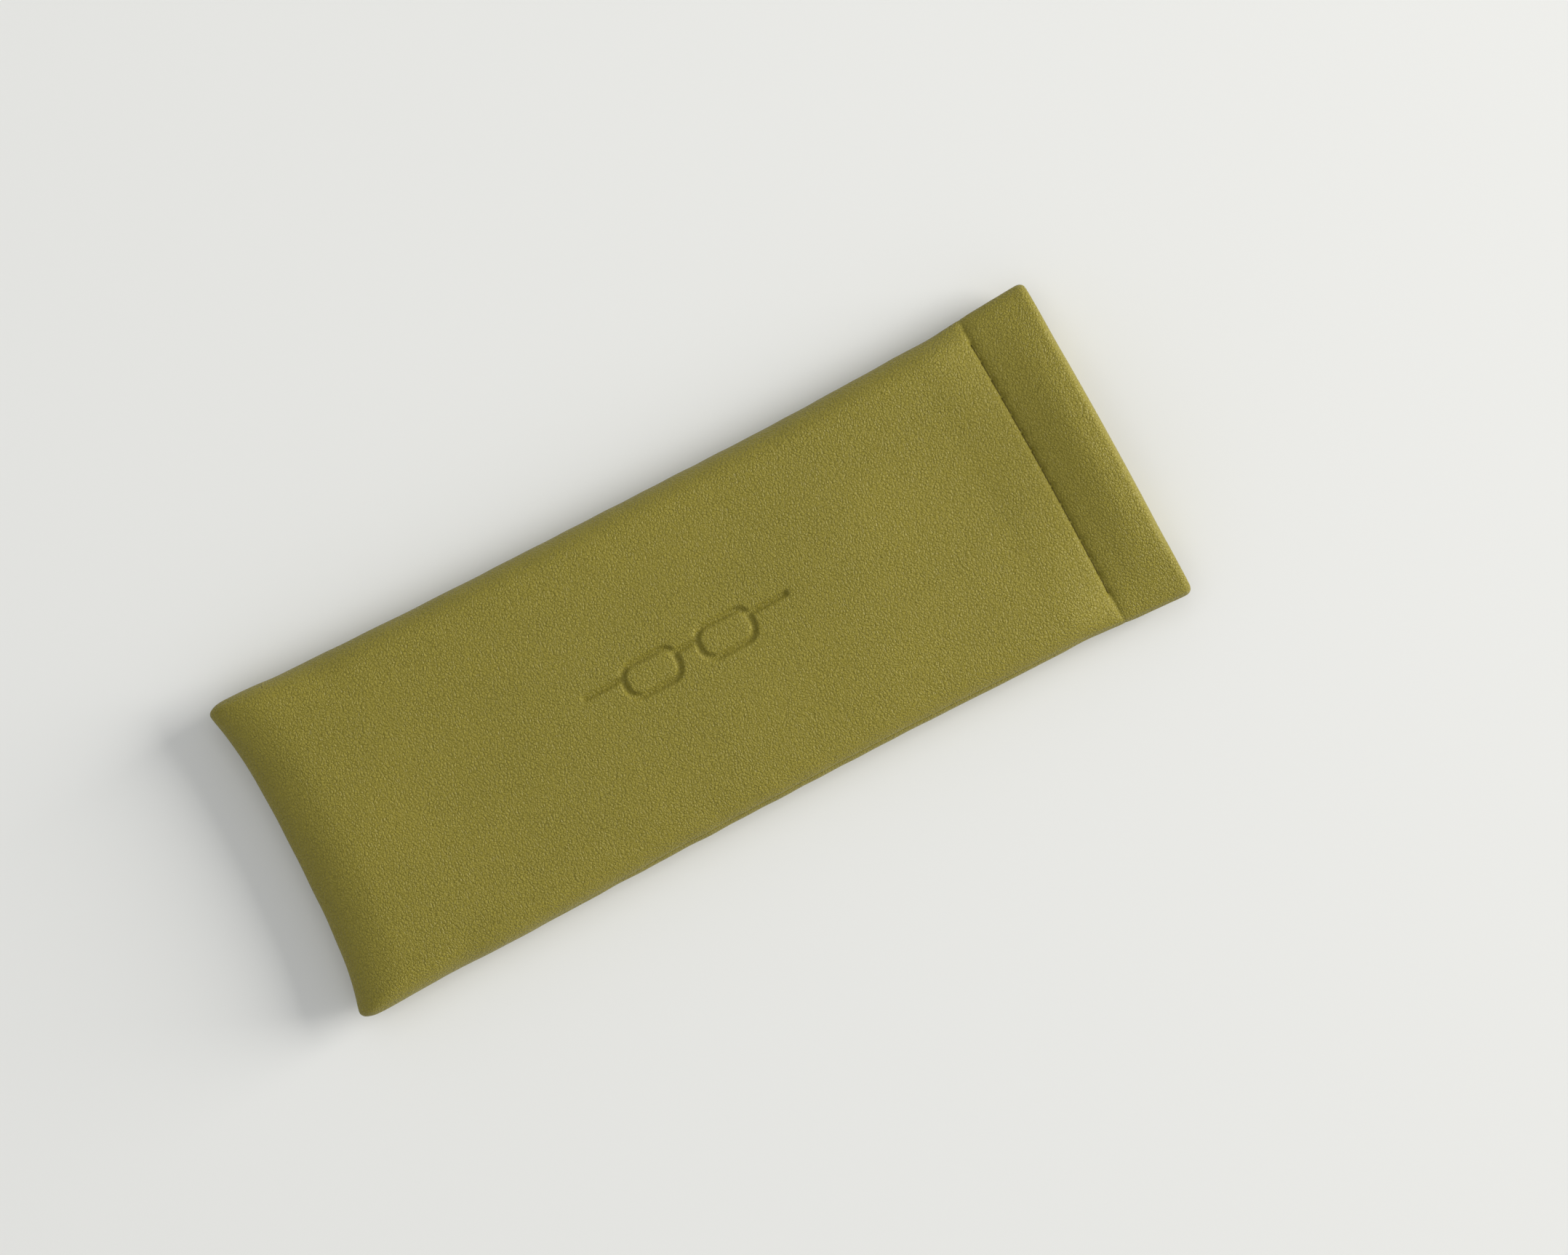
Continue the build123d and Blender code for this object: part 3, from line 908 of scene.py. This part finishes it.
def parting(y, front):
    """Height of the plane where the lips meet at the mouth, which follows the lifted seam."""
    lift = float(seam_lift(np.array(MOUTH_X), -1)) * ease(-18.0, -33.0, y)
    return SEAM_Z + (lift if front else -lift)


def lip_and_hem(start, stitched, thickness, front):
    """From the lip's first column, the lip's turn and the hem's inner layer: the cavity side and
    the channel side, as grids. stitched is the outside's height along the hem's stitches."""
    y = start[:, 1]
    across = np.gradient(start, axis=0)
    n = np.stack([np.zeros(len(y)), -across[:, 2], across[:, 1]], axis=1)
    n /= np.linalg.norm(n, axis=1, keepdims=True)
    n[:3] = (0.0, -1.0, 0.0)
    n[-3:] = (0.0, 1.0, 0.0)
    target = np.maximum(spring_side(y), parting(y, front) + SEAM_HALF_GAP)
    flat_depth = (start[:, 2] - target) * np.clip(n[:, 2], 0.3, 1.0)
    side = ease(23.0, 32.0, np.abs(y))
    depth = np.maximum(flat_depth * (1 - side) + SIDE_LIP * side, 2 * thickness + 0.1)
    turn_out, turn_in = [], []
    for angle in np.linspace(0.0, pi, 13)[1:]:
        drop = depth / 2 * (1 - cos(angle))
        inner_drop = depth / 2 - (depth / 2 - thickness) * cos(angle)
        ahead = np.array([LIP_RUN * sin(angle), 0, 0])
        inner_ahead = np.array([(LIP_RUN - thickness) * sin(angle), 0, 0])
        turn_out.append(start - drop[:, None] * n + ahead)
        turn_in.append(start - inner_drop[:, None] * n + inner_ahead)
    closes = ease(HEM_OPEN_END, 24.5, np.abs(y))
    reach = 0.35 + (start[:, 0] - STITCH_X + 0.05) * (1 - closes)
    stack = 2 * thickness + sizes().lining + 0.12
    for share in np.linspace(0.0, 1.0, 20)[1:]:
        x = start[:, 0] - reach * share
        pinch = bell(x - STITCH_X, 2.3) * (1 - closes)
        for faces, lifted in ((turn_out, 0.0), (turn_in, thickness)):
            place = start - (depth - lifted)[:, None] * n
            place[:, 0] = x
            place[:, 2] += (stitched - stack + lifted - place[:, 2]) * pinch
            faces.append(place)
    return np.stack(turn_out), np.stack(turn_in)


def half_surfaces(front):
    """The smooth outside of a half, its outside with all details, and its outward normals."""
    smooth = outer_grid(front) + settled_field(front)
    n = normals(smooth)
    for line in (n[:, 0], n[:, -1], n[0, :]):
        line[..., 2] = 0.0
    n /= np.maximum(np.linalg.norm(n, axis=-1, keepdims=True), 1e-9)
    for corner, beside in ((0, 1), (-1, -2)):
        n[0, corner] = n[1, corner] + n[0, beside]
        n[0, corner] /= np.linalg.norm(n[0, corner])
    swell = unevenness(smooth)
    detail = hem_valley(smooth, True)
    for edge in (smooth[:, :1], smooth[:, -1:], smooth[:1, :]):
        detail = detail + seam_groove(smooth, edge)
    if front:
        detail = detail + pressed_mark(smooth)
    else:
        swell = swell * (1.0 - ease(11.0, 13.5, smooth[..., 2]))
    base = smooth + n * (swell - hem_valley(smooth, False))[..., None]
    fine = smooth + n * (swell - detail)[..., None]
    if not front:
        base[..., 2] = np.minimum(base[..., 2], 2 * SEAM_Z)
        fine[..., 2] = np.minimum(fine[..., 2], 2 * SEAM_Z)
    return base, fine, n


def turn_in_edges(outer, flesh, thickness):
    """Adds the leather's turned-in edge round three sides, two lines wide, to both faces. Round the
    corners it is drawn in towards the middle of the corner, so that it never folds over itself."""
    columns, rows = outer.shape[:2]
    q = np.cos(edge_angles(True))
    by_column = np.concatenate([q, np.zeros(columns - len(q))])
    by_row = np.concatenate([q, np.zeros(rows - 2 * len(q)), q[::-1]])
    column_pull, row_pull = (
        (1.0 + by**CORNER_POWER) ** (-1.0 / CORNER_POWER) for by in (by_column, by_row)
    )
    side = np.sign(outer[0, :, 1])
    off_hem = 1.0 - ease(66.0, 76.0, outer[:, 0, 0])
    wide = ALLOWANCE * off_hem + 0.03
    corner_pull = 0.5 ** (1.0 / CORNER_POWER)
    made = []
    for points, over in ((outer, 0.0), (flesh, thickness)):
        edges = {-1: [], 1: []}
        ends = []
        for share in (1.0, 0.5):
            reach = (wide * share + over) * column_pull
            drop = over - SEAM_HALF_GAP * share * off_hem
            for s, row in ((-1, 0), (1, -1)):
                ahead = reach * by_column + CORNER_SPREAD * share * by_column**2
                edges[s].append(outer[:, row] + np.stack([ahead, -s * reach, drop], axis=1))
            reach = (ALLOWANCE * share + over) * row_pull
            inward = -side * (reach * by_row + CORNER_SPREAD * share * by_row**2)
            drop = np.full(rows, over - SEAM_HALF_GAP * share)
            ends.append(outer[0] + np.stack([reach, inward, drop], axis=1))
        grown = np.concatenate(
            [edges[-1][0][:, None], edges[-1][1][:, None], points, edges[1][1][:, None],
             edges[1][0][:, None]], axis=1)
        for along, end in ((0.5, ends[1]), (1.0, ends[0])):
            blocks = {}
            for s, row in ((-1, 0), (1, -1)):
                blocks[s] = []
                for across in (1.0, 0.5):
                    deep = ALLOWANCE * (max(along, across) + 0.25 * min(along, across)) + over
                    shift = (deep * corner_pull + CORNER_SPREAD * across,
                             -s * (deep * corner_pull + CORNER_SPREAD * along),
                             over - SEAM_HALF_GAP * max(along, across))
                    blocks[s].append(outer[0, row] + np.array(shift))
            line = np.concatenate([blocks[-1], end, blocks[1][::-1]])
            grown = np.concatenate([line[None], grown])
        made.append(grown)
    return made


CORNER_SPREAD = 0.2  # keeps the turned-in edges of two sides apart at their corner
SKIVED = 0.5  # share of the leather's thickness that is left along its turned-in edges


def leather_half(half):
    """The leather of one half: the outside, its turned-in edges, the lip and the hem, one sheet."""
    front = half == "front"
    thickness = sizes().leather
    base, fine, n = half_surfaces(front)
    thin = SKIVED * thickness
    to_edge = np.minimum.reduce(
        [np.linalg.norm(fine - edge, axis=-1) for edge in (fine[:, :1], fine[:, -1:], fine[:1, :])]
    )
    skin = thin + (thickness - thin) * ease(0.3, 3.2, to_edge)
    corner = np.minimum.reduce([np.linalg.norm(fine - fine[0, k], axis=-1) for k in (0, -1)])
    skin = skin * (1.0 - 0.6 * bell(corner, 4.0))
    flesh = fine - n * skin[..., None]
    deep = to_edge > 3.2
    flesh[deep] = (base - n * thickness)[deep]
    return finish_leather(half, fine, flesh, thin)


def finish_leather(half, fine, flesh, thin):
    """Turns the edges in, adds the lip and the hem, and makes the sheet."""
    front = half == "front"
    thickness = sizes().leather
    for line, level in ((np.s_[:, :8], fine[:, :1, 2]), (np.s_[:, -8:], fine[:, -1:, 2]),
                        (np.s_[:8, :], fine[:1, :, 2])):
        flesh[line][..., 2] = np.maximum(flesh[line][..., 2], level[: flesh[line].shape[0]] + thin)
    fine[:, 0, 2] += SEAM_HALF_GAP
    fine[:, -1, 2] += SEAM_HALF_GAP
    fine[0, 1:-1, 2] += SEAM_HALF_GAP
    outer, inner = turn_in_edges(fine, flesh, thin)
    column = int(np.argmin(np.abs(outer[:, outer.shape[1] // 2, 0] - STITCH_X)))
    lip_out, lip_in = lip_and_hem(outer[-1], outer[column, :, 2], thickness, front)
    for part, gap in ((lip_out, SEAM_HALF_GAP), (lip_in, SEAM_HALF_GAP + 0.05)):
        part[..., 2] = np.maximum(part[..., 2], parting(part[..., 1], front) + gap)
    outer, inner = np.concatenate([outer, lip_out]), np.concatenate([inner, lip_in])
    if not front:
        outer, inner = turned(outer), turned(inner)
    skins = finish_of("leather"), finish_of("flesh")
    return shell(f"{half}_leather", lie(outer), lie(inner), *skins)


RIM_LEFT_OUT = 4  # lines next to the seam that the foam and the lining leave out


def inner_layer(half, name, upper_depth, lower_depth, last_x, material):
    """A layer under the leather, between two depths, as far as last_x."""
    front = half == "front"
    base, _, n = half_surfaces(front)
    middle_row = base.shape[1] // 2
    columns = np.flatnonzero(base[:, middle_row, 0] <= last_x)
    columns = columns[RIM_LEFT_OUT:]
    columns = np.unique(np.concatenate([columns[::2], columns[-1:]]))
    rows = np.arange(RIM_LEFT_OUT, base.shape[1] - RIM_LEFT_OUT)
    rows = np.unique(np.concatenate([rows[:12], rows[12:-12:2], rows[-12:], [middle_row]]))
    base, n = base[np.ix_(columns, rows)], n[np.ix_(columns, rows)]
    x = base[..., 0]
    upper = base - n * upper_depth(x)[..., None]
    lower = base - n * lower_depth(x)[..., None]
    if not front:
        upper, lower = turned(upper), turned(lower)
    return shell(name, lie(upper), lie(lower), material)


def under_leather(x):
    return sizes().leather + 0.02 + 0.0 * x


def under_foam(x):
    thins = 1.0 - 0.97 * ease(STITCH_X - 8.0, STITCH_X - 1.2, x)
    return sizes().leather + 0.02 + sizes().foam * thins


def over_lining(x):
    return under_foam(x) + 0.03


def under_lining(x):
    return over_lining(x) + sizes().lining


# ---------------------------------------------------------------- springs


def spring_strip(half):
    """One spring strip, bowed along Y, with rounded edges."""
    ys = np.linspace(STRIP_LOW[1], STRIP_HIGH[1], 61)
    thickness = STRIP_THICKNESS
    round_in = 0.12
    across = [
        (STRIP_LOW[0] + round_in, 1), (STRIP_HIGH[0] - round_in, 1), (STRIP_HIGH[0], 0.5),
        (STRIP_HIGH[0], -0.5), (STRIP_HIGH[0] - round_in, -1), (STRIP_LOW[0] + round_in, -1),
        (STRIP_LOW[0], -0.5), (STRIP_LOW[0], 0.5),
    ]
    mids = spring_arc(ys)
    slope = np.gradient(mids, ys)
    rings = []
    for y, z, s in zip(ys, mids, slope):
        length = np.hypot(1.0, s)
        ring = [(x, y - s / length * k * thickness / 2, z + k * thickness / 2 / length)
                for x, k in across]
        rings.append(ring)
    grid = np.array(rings)
    if half == "back":
        grid = turned(grid)
    return tube_mesh(f"{half}_strip", grid, finish_of("strip_steel"))


def tube_mesh(name, rings, material):
    """A closed tube through rings of points, its ends capped."""
    count, size = rings.shape[:2]
    faces = []
    for r in range(count - 1):
        for k in range(size):
            k2 = (k + 1) % size
            faces.append([r * size + k, r * size + k2, (r + 1) * size + k2, (r + 1) * size + k])
    faces.append(list(range(size))[::-1])
    faces.append([(count - 1) * size + k for k in range(size)])
    obj = make_object(name, rings.reshape(-1, 3), faces, material)
    face_outwards(obj.data)
    return obj


# ---------------------------------------------------------------- stitches, by Geometry Nodes


STITCH_TWIST = 2 * pi  # turn of the thread along one stitch
STRAND_HOLLOW = 0.72  # how near the middle of the thread the hollows between its strands reach


def stitch_tree(material):
    """Lays stitches of twisted thread along a path, each one arched between its holes."""
    tree = bpy.data.node_groups.new("Row of stitches", "GeometryNodeTree")
    face = tree.interface
    face.new_socket("Geometry", in_out="INPUT", socket_type="NodeSocketGeometry")
    for name, default in (("Stitch length", 0.0037), ("Thread radius", 0.00024), ("Dip", 0.0005)):
        socket = face.new_socket(name, in_out="INPUT", socket_type="NodeSocketFloat")
        socket.default_value = default
    face.new_socket("Geometry", in_out="OUTPUT", socket_type="NodeSocketGeometry")

    def geo(kind, **settings):
        return node(tree, "GeometryNode" + kind, **settings).outputs

    def xyz(**settings):
        return node(tree, "ShaderNodeCombineXYZ", **settings).outputs[0]

    given = node(tree, "NodeGroupInput").outputs
    half = maths(tree, "MULTIPLY", given["Stitch length"], 0.5)
    start = xyz(Y=given["Dip"], Z=maths(tree, "MULTIPLY", half, -1.0))
    end = xyz(Y=given["Dip"], Z=half)
    top = xyz(Y=maths(tree, "MULTIPLY", given["Dip"], -1.0))
    arch = geo("CurveQuadraticBezier", Resolution=14, Start=start, Middle=top, End=end)
    twist = maths(tree, "MULTIPLY", geo("SplineParameter")["Factor"], STITCH_TWIST)
    turn = geo("SetCurveTilt", Curve=arch["Curve"], Tilt=twist)
    hollow = maths(tree, "MULTIPLY", given["Thread radius"], STRAND_HOLLOW)
    star = geo("CurveStar", Points=3,
               **{"Inner Radius": hollow, "Outer Radius": given["Thread radius"]})
    strands = geo("SubdivideCurve", Curve=star["Curve"], Cuts=1)
    body = geo("CurveToMesh", Curve=turn["Curve"],
               **{"Profile Curve": strands["Curve"], "Fill Caps": True})
    points = geo("CurveToPoints", mode="EVALUATED", Curve=given["Geometry"])
    laid = geo("InstanceOnPoints", Points=points["Points"], Instance=body["Mesh"],
               Rotation=points["Rotation"])
    real = geo("RealizeInstances", Geometry=laid["Instances"])
    smooth = geo("SetShadeSmooth", Geometry=real["Geometry"])
    coated = geo("SetMaterial", Geometry=smooth["Geometry"], Material=material)
    node(tree, "NodeGroupOutput", Geometry=coated["Geometry"])
    return tree


def run_tree(name, path, tree, values):
    """Runs a tree on a path of points and returns the result as a plain mesh object."""
    curve = bpy.data.curves.new(name + "_path", "CURVE")
    curve.dimensions = "3D"
    spline = curve.splines.new("POLY")
    spline.points.add(len(path) - 1)
    for point, place in zip(spline.points, path):
        point.co = (*(np.asarray(place) * MM), 1.0)
    holder = bpy.data.objects.new(name + "_path", curve)
    bpy.context.scene.collection.objects.link(holder)
    modifier = holder.modifiers.new("Stitches", "NODES")
    modifier.node_group = tree
    for item in tree.interface.items_tree:
        if item.item_type == "SOCKET" and item.in_out == "INPUT" and item.name in values:
            modifier[item.identifier] = values[item.name]
    bpy.context.view_layer.update()
    ready = holder.evaluated_get(bpy.context.evaluated_depsgraph_get())
    mesh = bpy.data.meshes.new_from_object(ready)
    bpy.data.objects.remove(holder)
    obj = bpy.data.objects.new(name, mesh)
    mesh.name = name
    bpy.context.scene.collection.objects.link(obj)
    return obj


def hem_stitch_path(half):
    """The middles of the hem's stitches, in the valley of the outside."""
    front = half == "front"
    _, fine, _ = half_surfaces(front)
    middle_row = fine.shape[1] // 2
    column = int(np.argmin(np.abs(fine[:, middle_row, 0] - STITCH_X)))
    line = fine[column]
    number = stitch_share(line[:, 1], line[:, 0])
    wanted = np.arange(-STITCH_COUNT, STITCH_COUNT) + 0.5
    path = np.stack([np.interp(wanted, number, line[:, k]) for k in range(3)], axis=1)
    path[:, 2] -= 0.02
    return lie(path if front else turned(path))


def hem_inner_path(half):
    """The middles of the same stitches on the cavity side, where the hem's inner layer is sewn."""
    places = hem_stitch_path(half)
    places = places[np.abs(places[:, 1]) < HEM_OPEN_END - 1.0]
    depth = 2 * sizes().leather + sizes().lining + 0.12
    places[:, 2] += -depth - 0.3 if half == "front" else depth + 0.3
    return places


def seam_path():
    """The middles of the seam's stitches, round three sides, between the turned-in edges."""
    _, fine, _ = half_surfaces(True)
    left, end, right = fine[::-1, 0].copy(), fine[0, 1:-1].copy(), fine[:, -1].copy()
    inset = 1.7 - 1.1 * ease(64.0, 76.0, left[:, 0])
    left[:, 1] += inset
    right[:, 1] -= inset[::-1]
    end[:, 0] += 1.7
    line = lie(np.concatenate([left, end, right]))
    step = np.linalg.norm(np.diff(line, axis=0), axis=1)
    along = np.concatenate([[0.0], np.cumsum(step)])
    wanted = np.arange(2.0, along[-1] - 2.0, 3.0)
    return np.stack([np.interp(wanted, along, line[:, k]) for k in range(3)], axis=1)


def stitches(name, path, dip, length_share=0.86):
    """A row of stitches along a path, their length a share of the distance between them."""
    gap = float(np.median(np.linalg.norm(np.diff(path, axis=0), axis=1)))
    tree = stitch_tree(finish_of("thread"))
    values = {
        "Stitch length": gap * length_share * MM,
        "Thread radius": sizes().thread / 2 * MM,
        "Dip": dip * MM,
    }
    return run_tree(name, path, tree, values)


def join(name, objects):
    """Joins meshes into the first one."""
    first = objects[0]
    with bpy.context.temp_override(
        active_object=first, object=first, selected_objects=objects,
        selected_editable_objects=objects,
    ):
        bpy.ops.object.join()
    first.name = name
    first.data.name = name
    return first


# ---------------------------------------------------------------- the whole pieces


def make_half(half):
    """Leather, foam and lining of one half, each cut at the middle and joined again."""
    leather = bend(leather_half(half), half)
    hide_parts(f"{half}_panel")
    foam = inner_layer(half, f"{half}_foam", under_leather, under_foam, STITCH_X - 1.0,
                       finish_of("foam"))
    foam = bend(foam, half)
    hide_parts(f"{half}_padding")
    lining = inner_layer(half, f"{half}_lining_cloth", over_lining, under_lining, STITCH_X + 0.6,
                         finish_of("lining"))
    lining = bend(lining, half)
    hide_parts(f"{half}_lining")
    return leather, foam, lining


def make_springs():
    for half in ("front", "back"):
        strip = bend(spring_strip(half), half)
        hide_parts(f"{half}_spring_strip")


def make_threads():
    for half in ("front", "back"):
        outward = 1.0 if half == "front" else -1.0
        outer = stitches(f"{half}_needle_thread", hem_stitch_path(half), 0.28 * outward)
        inner = stitches(f"{half}_bobbin_thread", hem_inner_path(half), -0.20 * outward)
        thread = bend(join(f"{half}_stitches", [outer, inner]), half)
        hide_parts(f"{half}_hem_thread")
    seam = stitches("seam_stitches", seam_path(), 0.15)
    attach(seam, "side_seams")
    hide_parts("seam_thread")


FITTINGS = {"clasp": "plated_steel", "pin": "plated_steel", "rivet": "rivet_brass"}


def finish_fittings():
    """Gives the clasps, the pins and the rivets their metals."""
    for name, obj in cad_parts.items():
        kind = name.rsplit("_", 1)[-1]
        if kind in FITTINGS:
            for place in obj.material_slots:
                place.material = finish_of(FITTINGS[kind])


# ---------------------------------------------------------------- camera, lights and floor

VIEW_TURN = radians(-27.64)
VIEW_MIDDLE = Vector((0.01757, -0.00438, 0.0))
VIEW_WIDTH = 0.3228
VIEW_HEIGHT = 1.0
SENSOR = 36.0
KEY_POWER = 118.0
FILL_POWER = 12.5
SKY_STRENGTH = 0.43


def in_view(across, up, height):
    """A place given across and up the camera's picture from its middle, and over the floor."""
    right = Vector((cos(VIEW_TURN), sin(VIEW_TURN), 0.0))
    ahead = Vector((-sin(VIEW_TURN), cos(VIEW_TURN), 0.0))
    return VIEW_MIDDLE + right * across + ahead * up + Vector((0.0, 0.0, height))


def area_light(name, place, size, power, colour):
    data = bpy.data.lights.new(name, "AREA")
    data.shape = "RECTANGLE"
    data.size, data.size_y = size
    data.energy = power
    data.color = colour
    light = bpy.data.objects.new(name, data)
    bpy.context.scene.collection.objects.link(light)
    light.location = place
    light.rotation_euler = (VIEW_MIDDLE - Vector(place)).to_track_quat("-Z", "Y").to_euler()
    return light


def make_stage():
    scene = bpy.context.scene
    scene.view_settings.view_transform = "Standard"
    data = bpy.data.cameras.new("Camera")
    data.sensor_width = SENSOR
    data.lens = SENSOR * VIEW_HEIGHT / VIEW_WIDTH
    data.clip_start = 0.05
    data.dof.use_dof = False
    camera = bpy.data.objects.new("Camera", data)
    scene.collection.objects.link(camera)
    camera.location = VIEW_MIDDLE + Vector((0.0, 0.0, VIEW_HEIGHT))
    camera.rotation_euler = (0.0, 0.0, VIEW_TURN)
    scene.camera = camera
    area_light("Window", in_view(2.62, 0.88, 1.06), (1.7, 2.0), KEY_POWER, (1.0, 0.985, 0.96))
    area_light("Ceiling", in_view(-0.3, 0.3, 2.4), (2.4, 2.4), FILL_POWER, (0.97, 0.985, 1.0))
    world = bpy.data.worlds.new("Sky")
    world.use_nodes = True
    background = world.node_tree.nodes["Background"]
    background.inputs["Color"].default_value = (0.97, 0.985, 1.0, 1.0)
    background.inputs["Strength"].default_value = SKY_STRENGTH
    scene.world = world
    reach = 3.0
    corners = [(-reach, -reach, 0), (reach, -reach, 0), (reach, reach, 0), (-reach, reach, 0)]
    floor = make_object("floor", np.array(corners) / MM, [[0, 1, 2, 3]], finish_of("floor"))


# ---------------------------------------------------------------- the add-on


def run(work, *arguments):
    work(*arguments)
    return {"FINISHED"}


class CASE_OT_front(bpy.types.Operator):
    """Make the front half's leather, foam and lining"""

    bl_idname = "case.front"
    bl_label = "Front half"

    def execute(self, context):
        return run(make_half, "front")


class CASE_OT_back(bpy.types.Operator):
    """Make the back half's leather, foam and lining"""

    bl_idname = "case.back"
    bl_label = "Back half"

    def execute(self, context):
        return run(make_half, "back")


class CASE_OT_springs(bpy.types.Operator):
    """Make the two spring strips in the hems"""

    bl_idname = "case.springs"
    bl_label = "Spring strips"

    def execute(self, context):
        return run(make_springs)


class CASE_OT_threads(bpy.types.Operator):
    """Make the threads of the hems and of the three-sided seam"""

    bl_idname = "case.threads"
    bl_label = "Threads"

    def execute(self, context):
        return run(make_threads)


class CASE_OT_fittings(bpy.types.Operator):
    """Give the clasps, pins and rivets their metals"""

    bl_idname = "case.fittings"
    bl_label = "Metal fittings"

    def execute(self, context):
        return run(finish_fittings)


class CASE_OT_stage(bpy.types.Operator):
    """Make the camera, the lights and the floor"""

    bl_idname = "case.stage"
    bl_label = "Stage"

    def execute(self, context):
        return run(make_stage)


OPERATORS = (
    CASE_OT_front, CASE_OT_back, CASE_OT_springs, CASE_OT_threads, CASE_OT_fittings, CASE_OT_stage,
)


class CASE_PT_panel(bpy.types.Panel):
    """Sizes, colours and buttons of the glasses case"""

    bl_idname = "CASE_PT_panel"
    bl_label = "Glasses Case"
    bl_space_type = "VIEW_3D"
    bl_region_type = "UI"
    bl_category = "Glasses Case"

    def draw(self, context):
        for group in (context.scene.case_sizes, context.scene.case_colours):
            column = self.layout.column(align=True)
            for name in group.__annotations__:
                column.prop(group, name)
        for operator in OPERATORS:
            self.layout.operator(operator.bl_idname)


CLASSES = (CaseSizes, CaseColours, *OPERATORS, CASE_PT_panel)


def register():
    for each in CLASSES:
        bpy.utils.register_class(each)
    bpy.types.Scene.case_sizes = bpy.props.PointerProperty(type=CaseSizes)
    bpy.types.Scene.case_colours = bpy.props.PointerProperty(type=CaseColours)


def unregister():
    del bpy.types.Scene.case_colours
    del bpy.types.Scene.case_sizes
    for each in reversed(CLASSES):
        bpy.utils.unregister_class(each)


def main():
    register()
    bpy.ops.case.front()
    bpy.ops.case.back()
    bpy.ops.case.springs()
    bpy.ops.case.threads()
    bpy.ops.case.fittings()
    bpy.ops.case.stage()


if __name__ == "__main__":
    main()
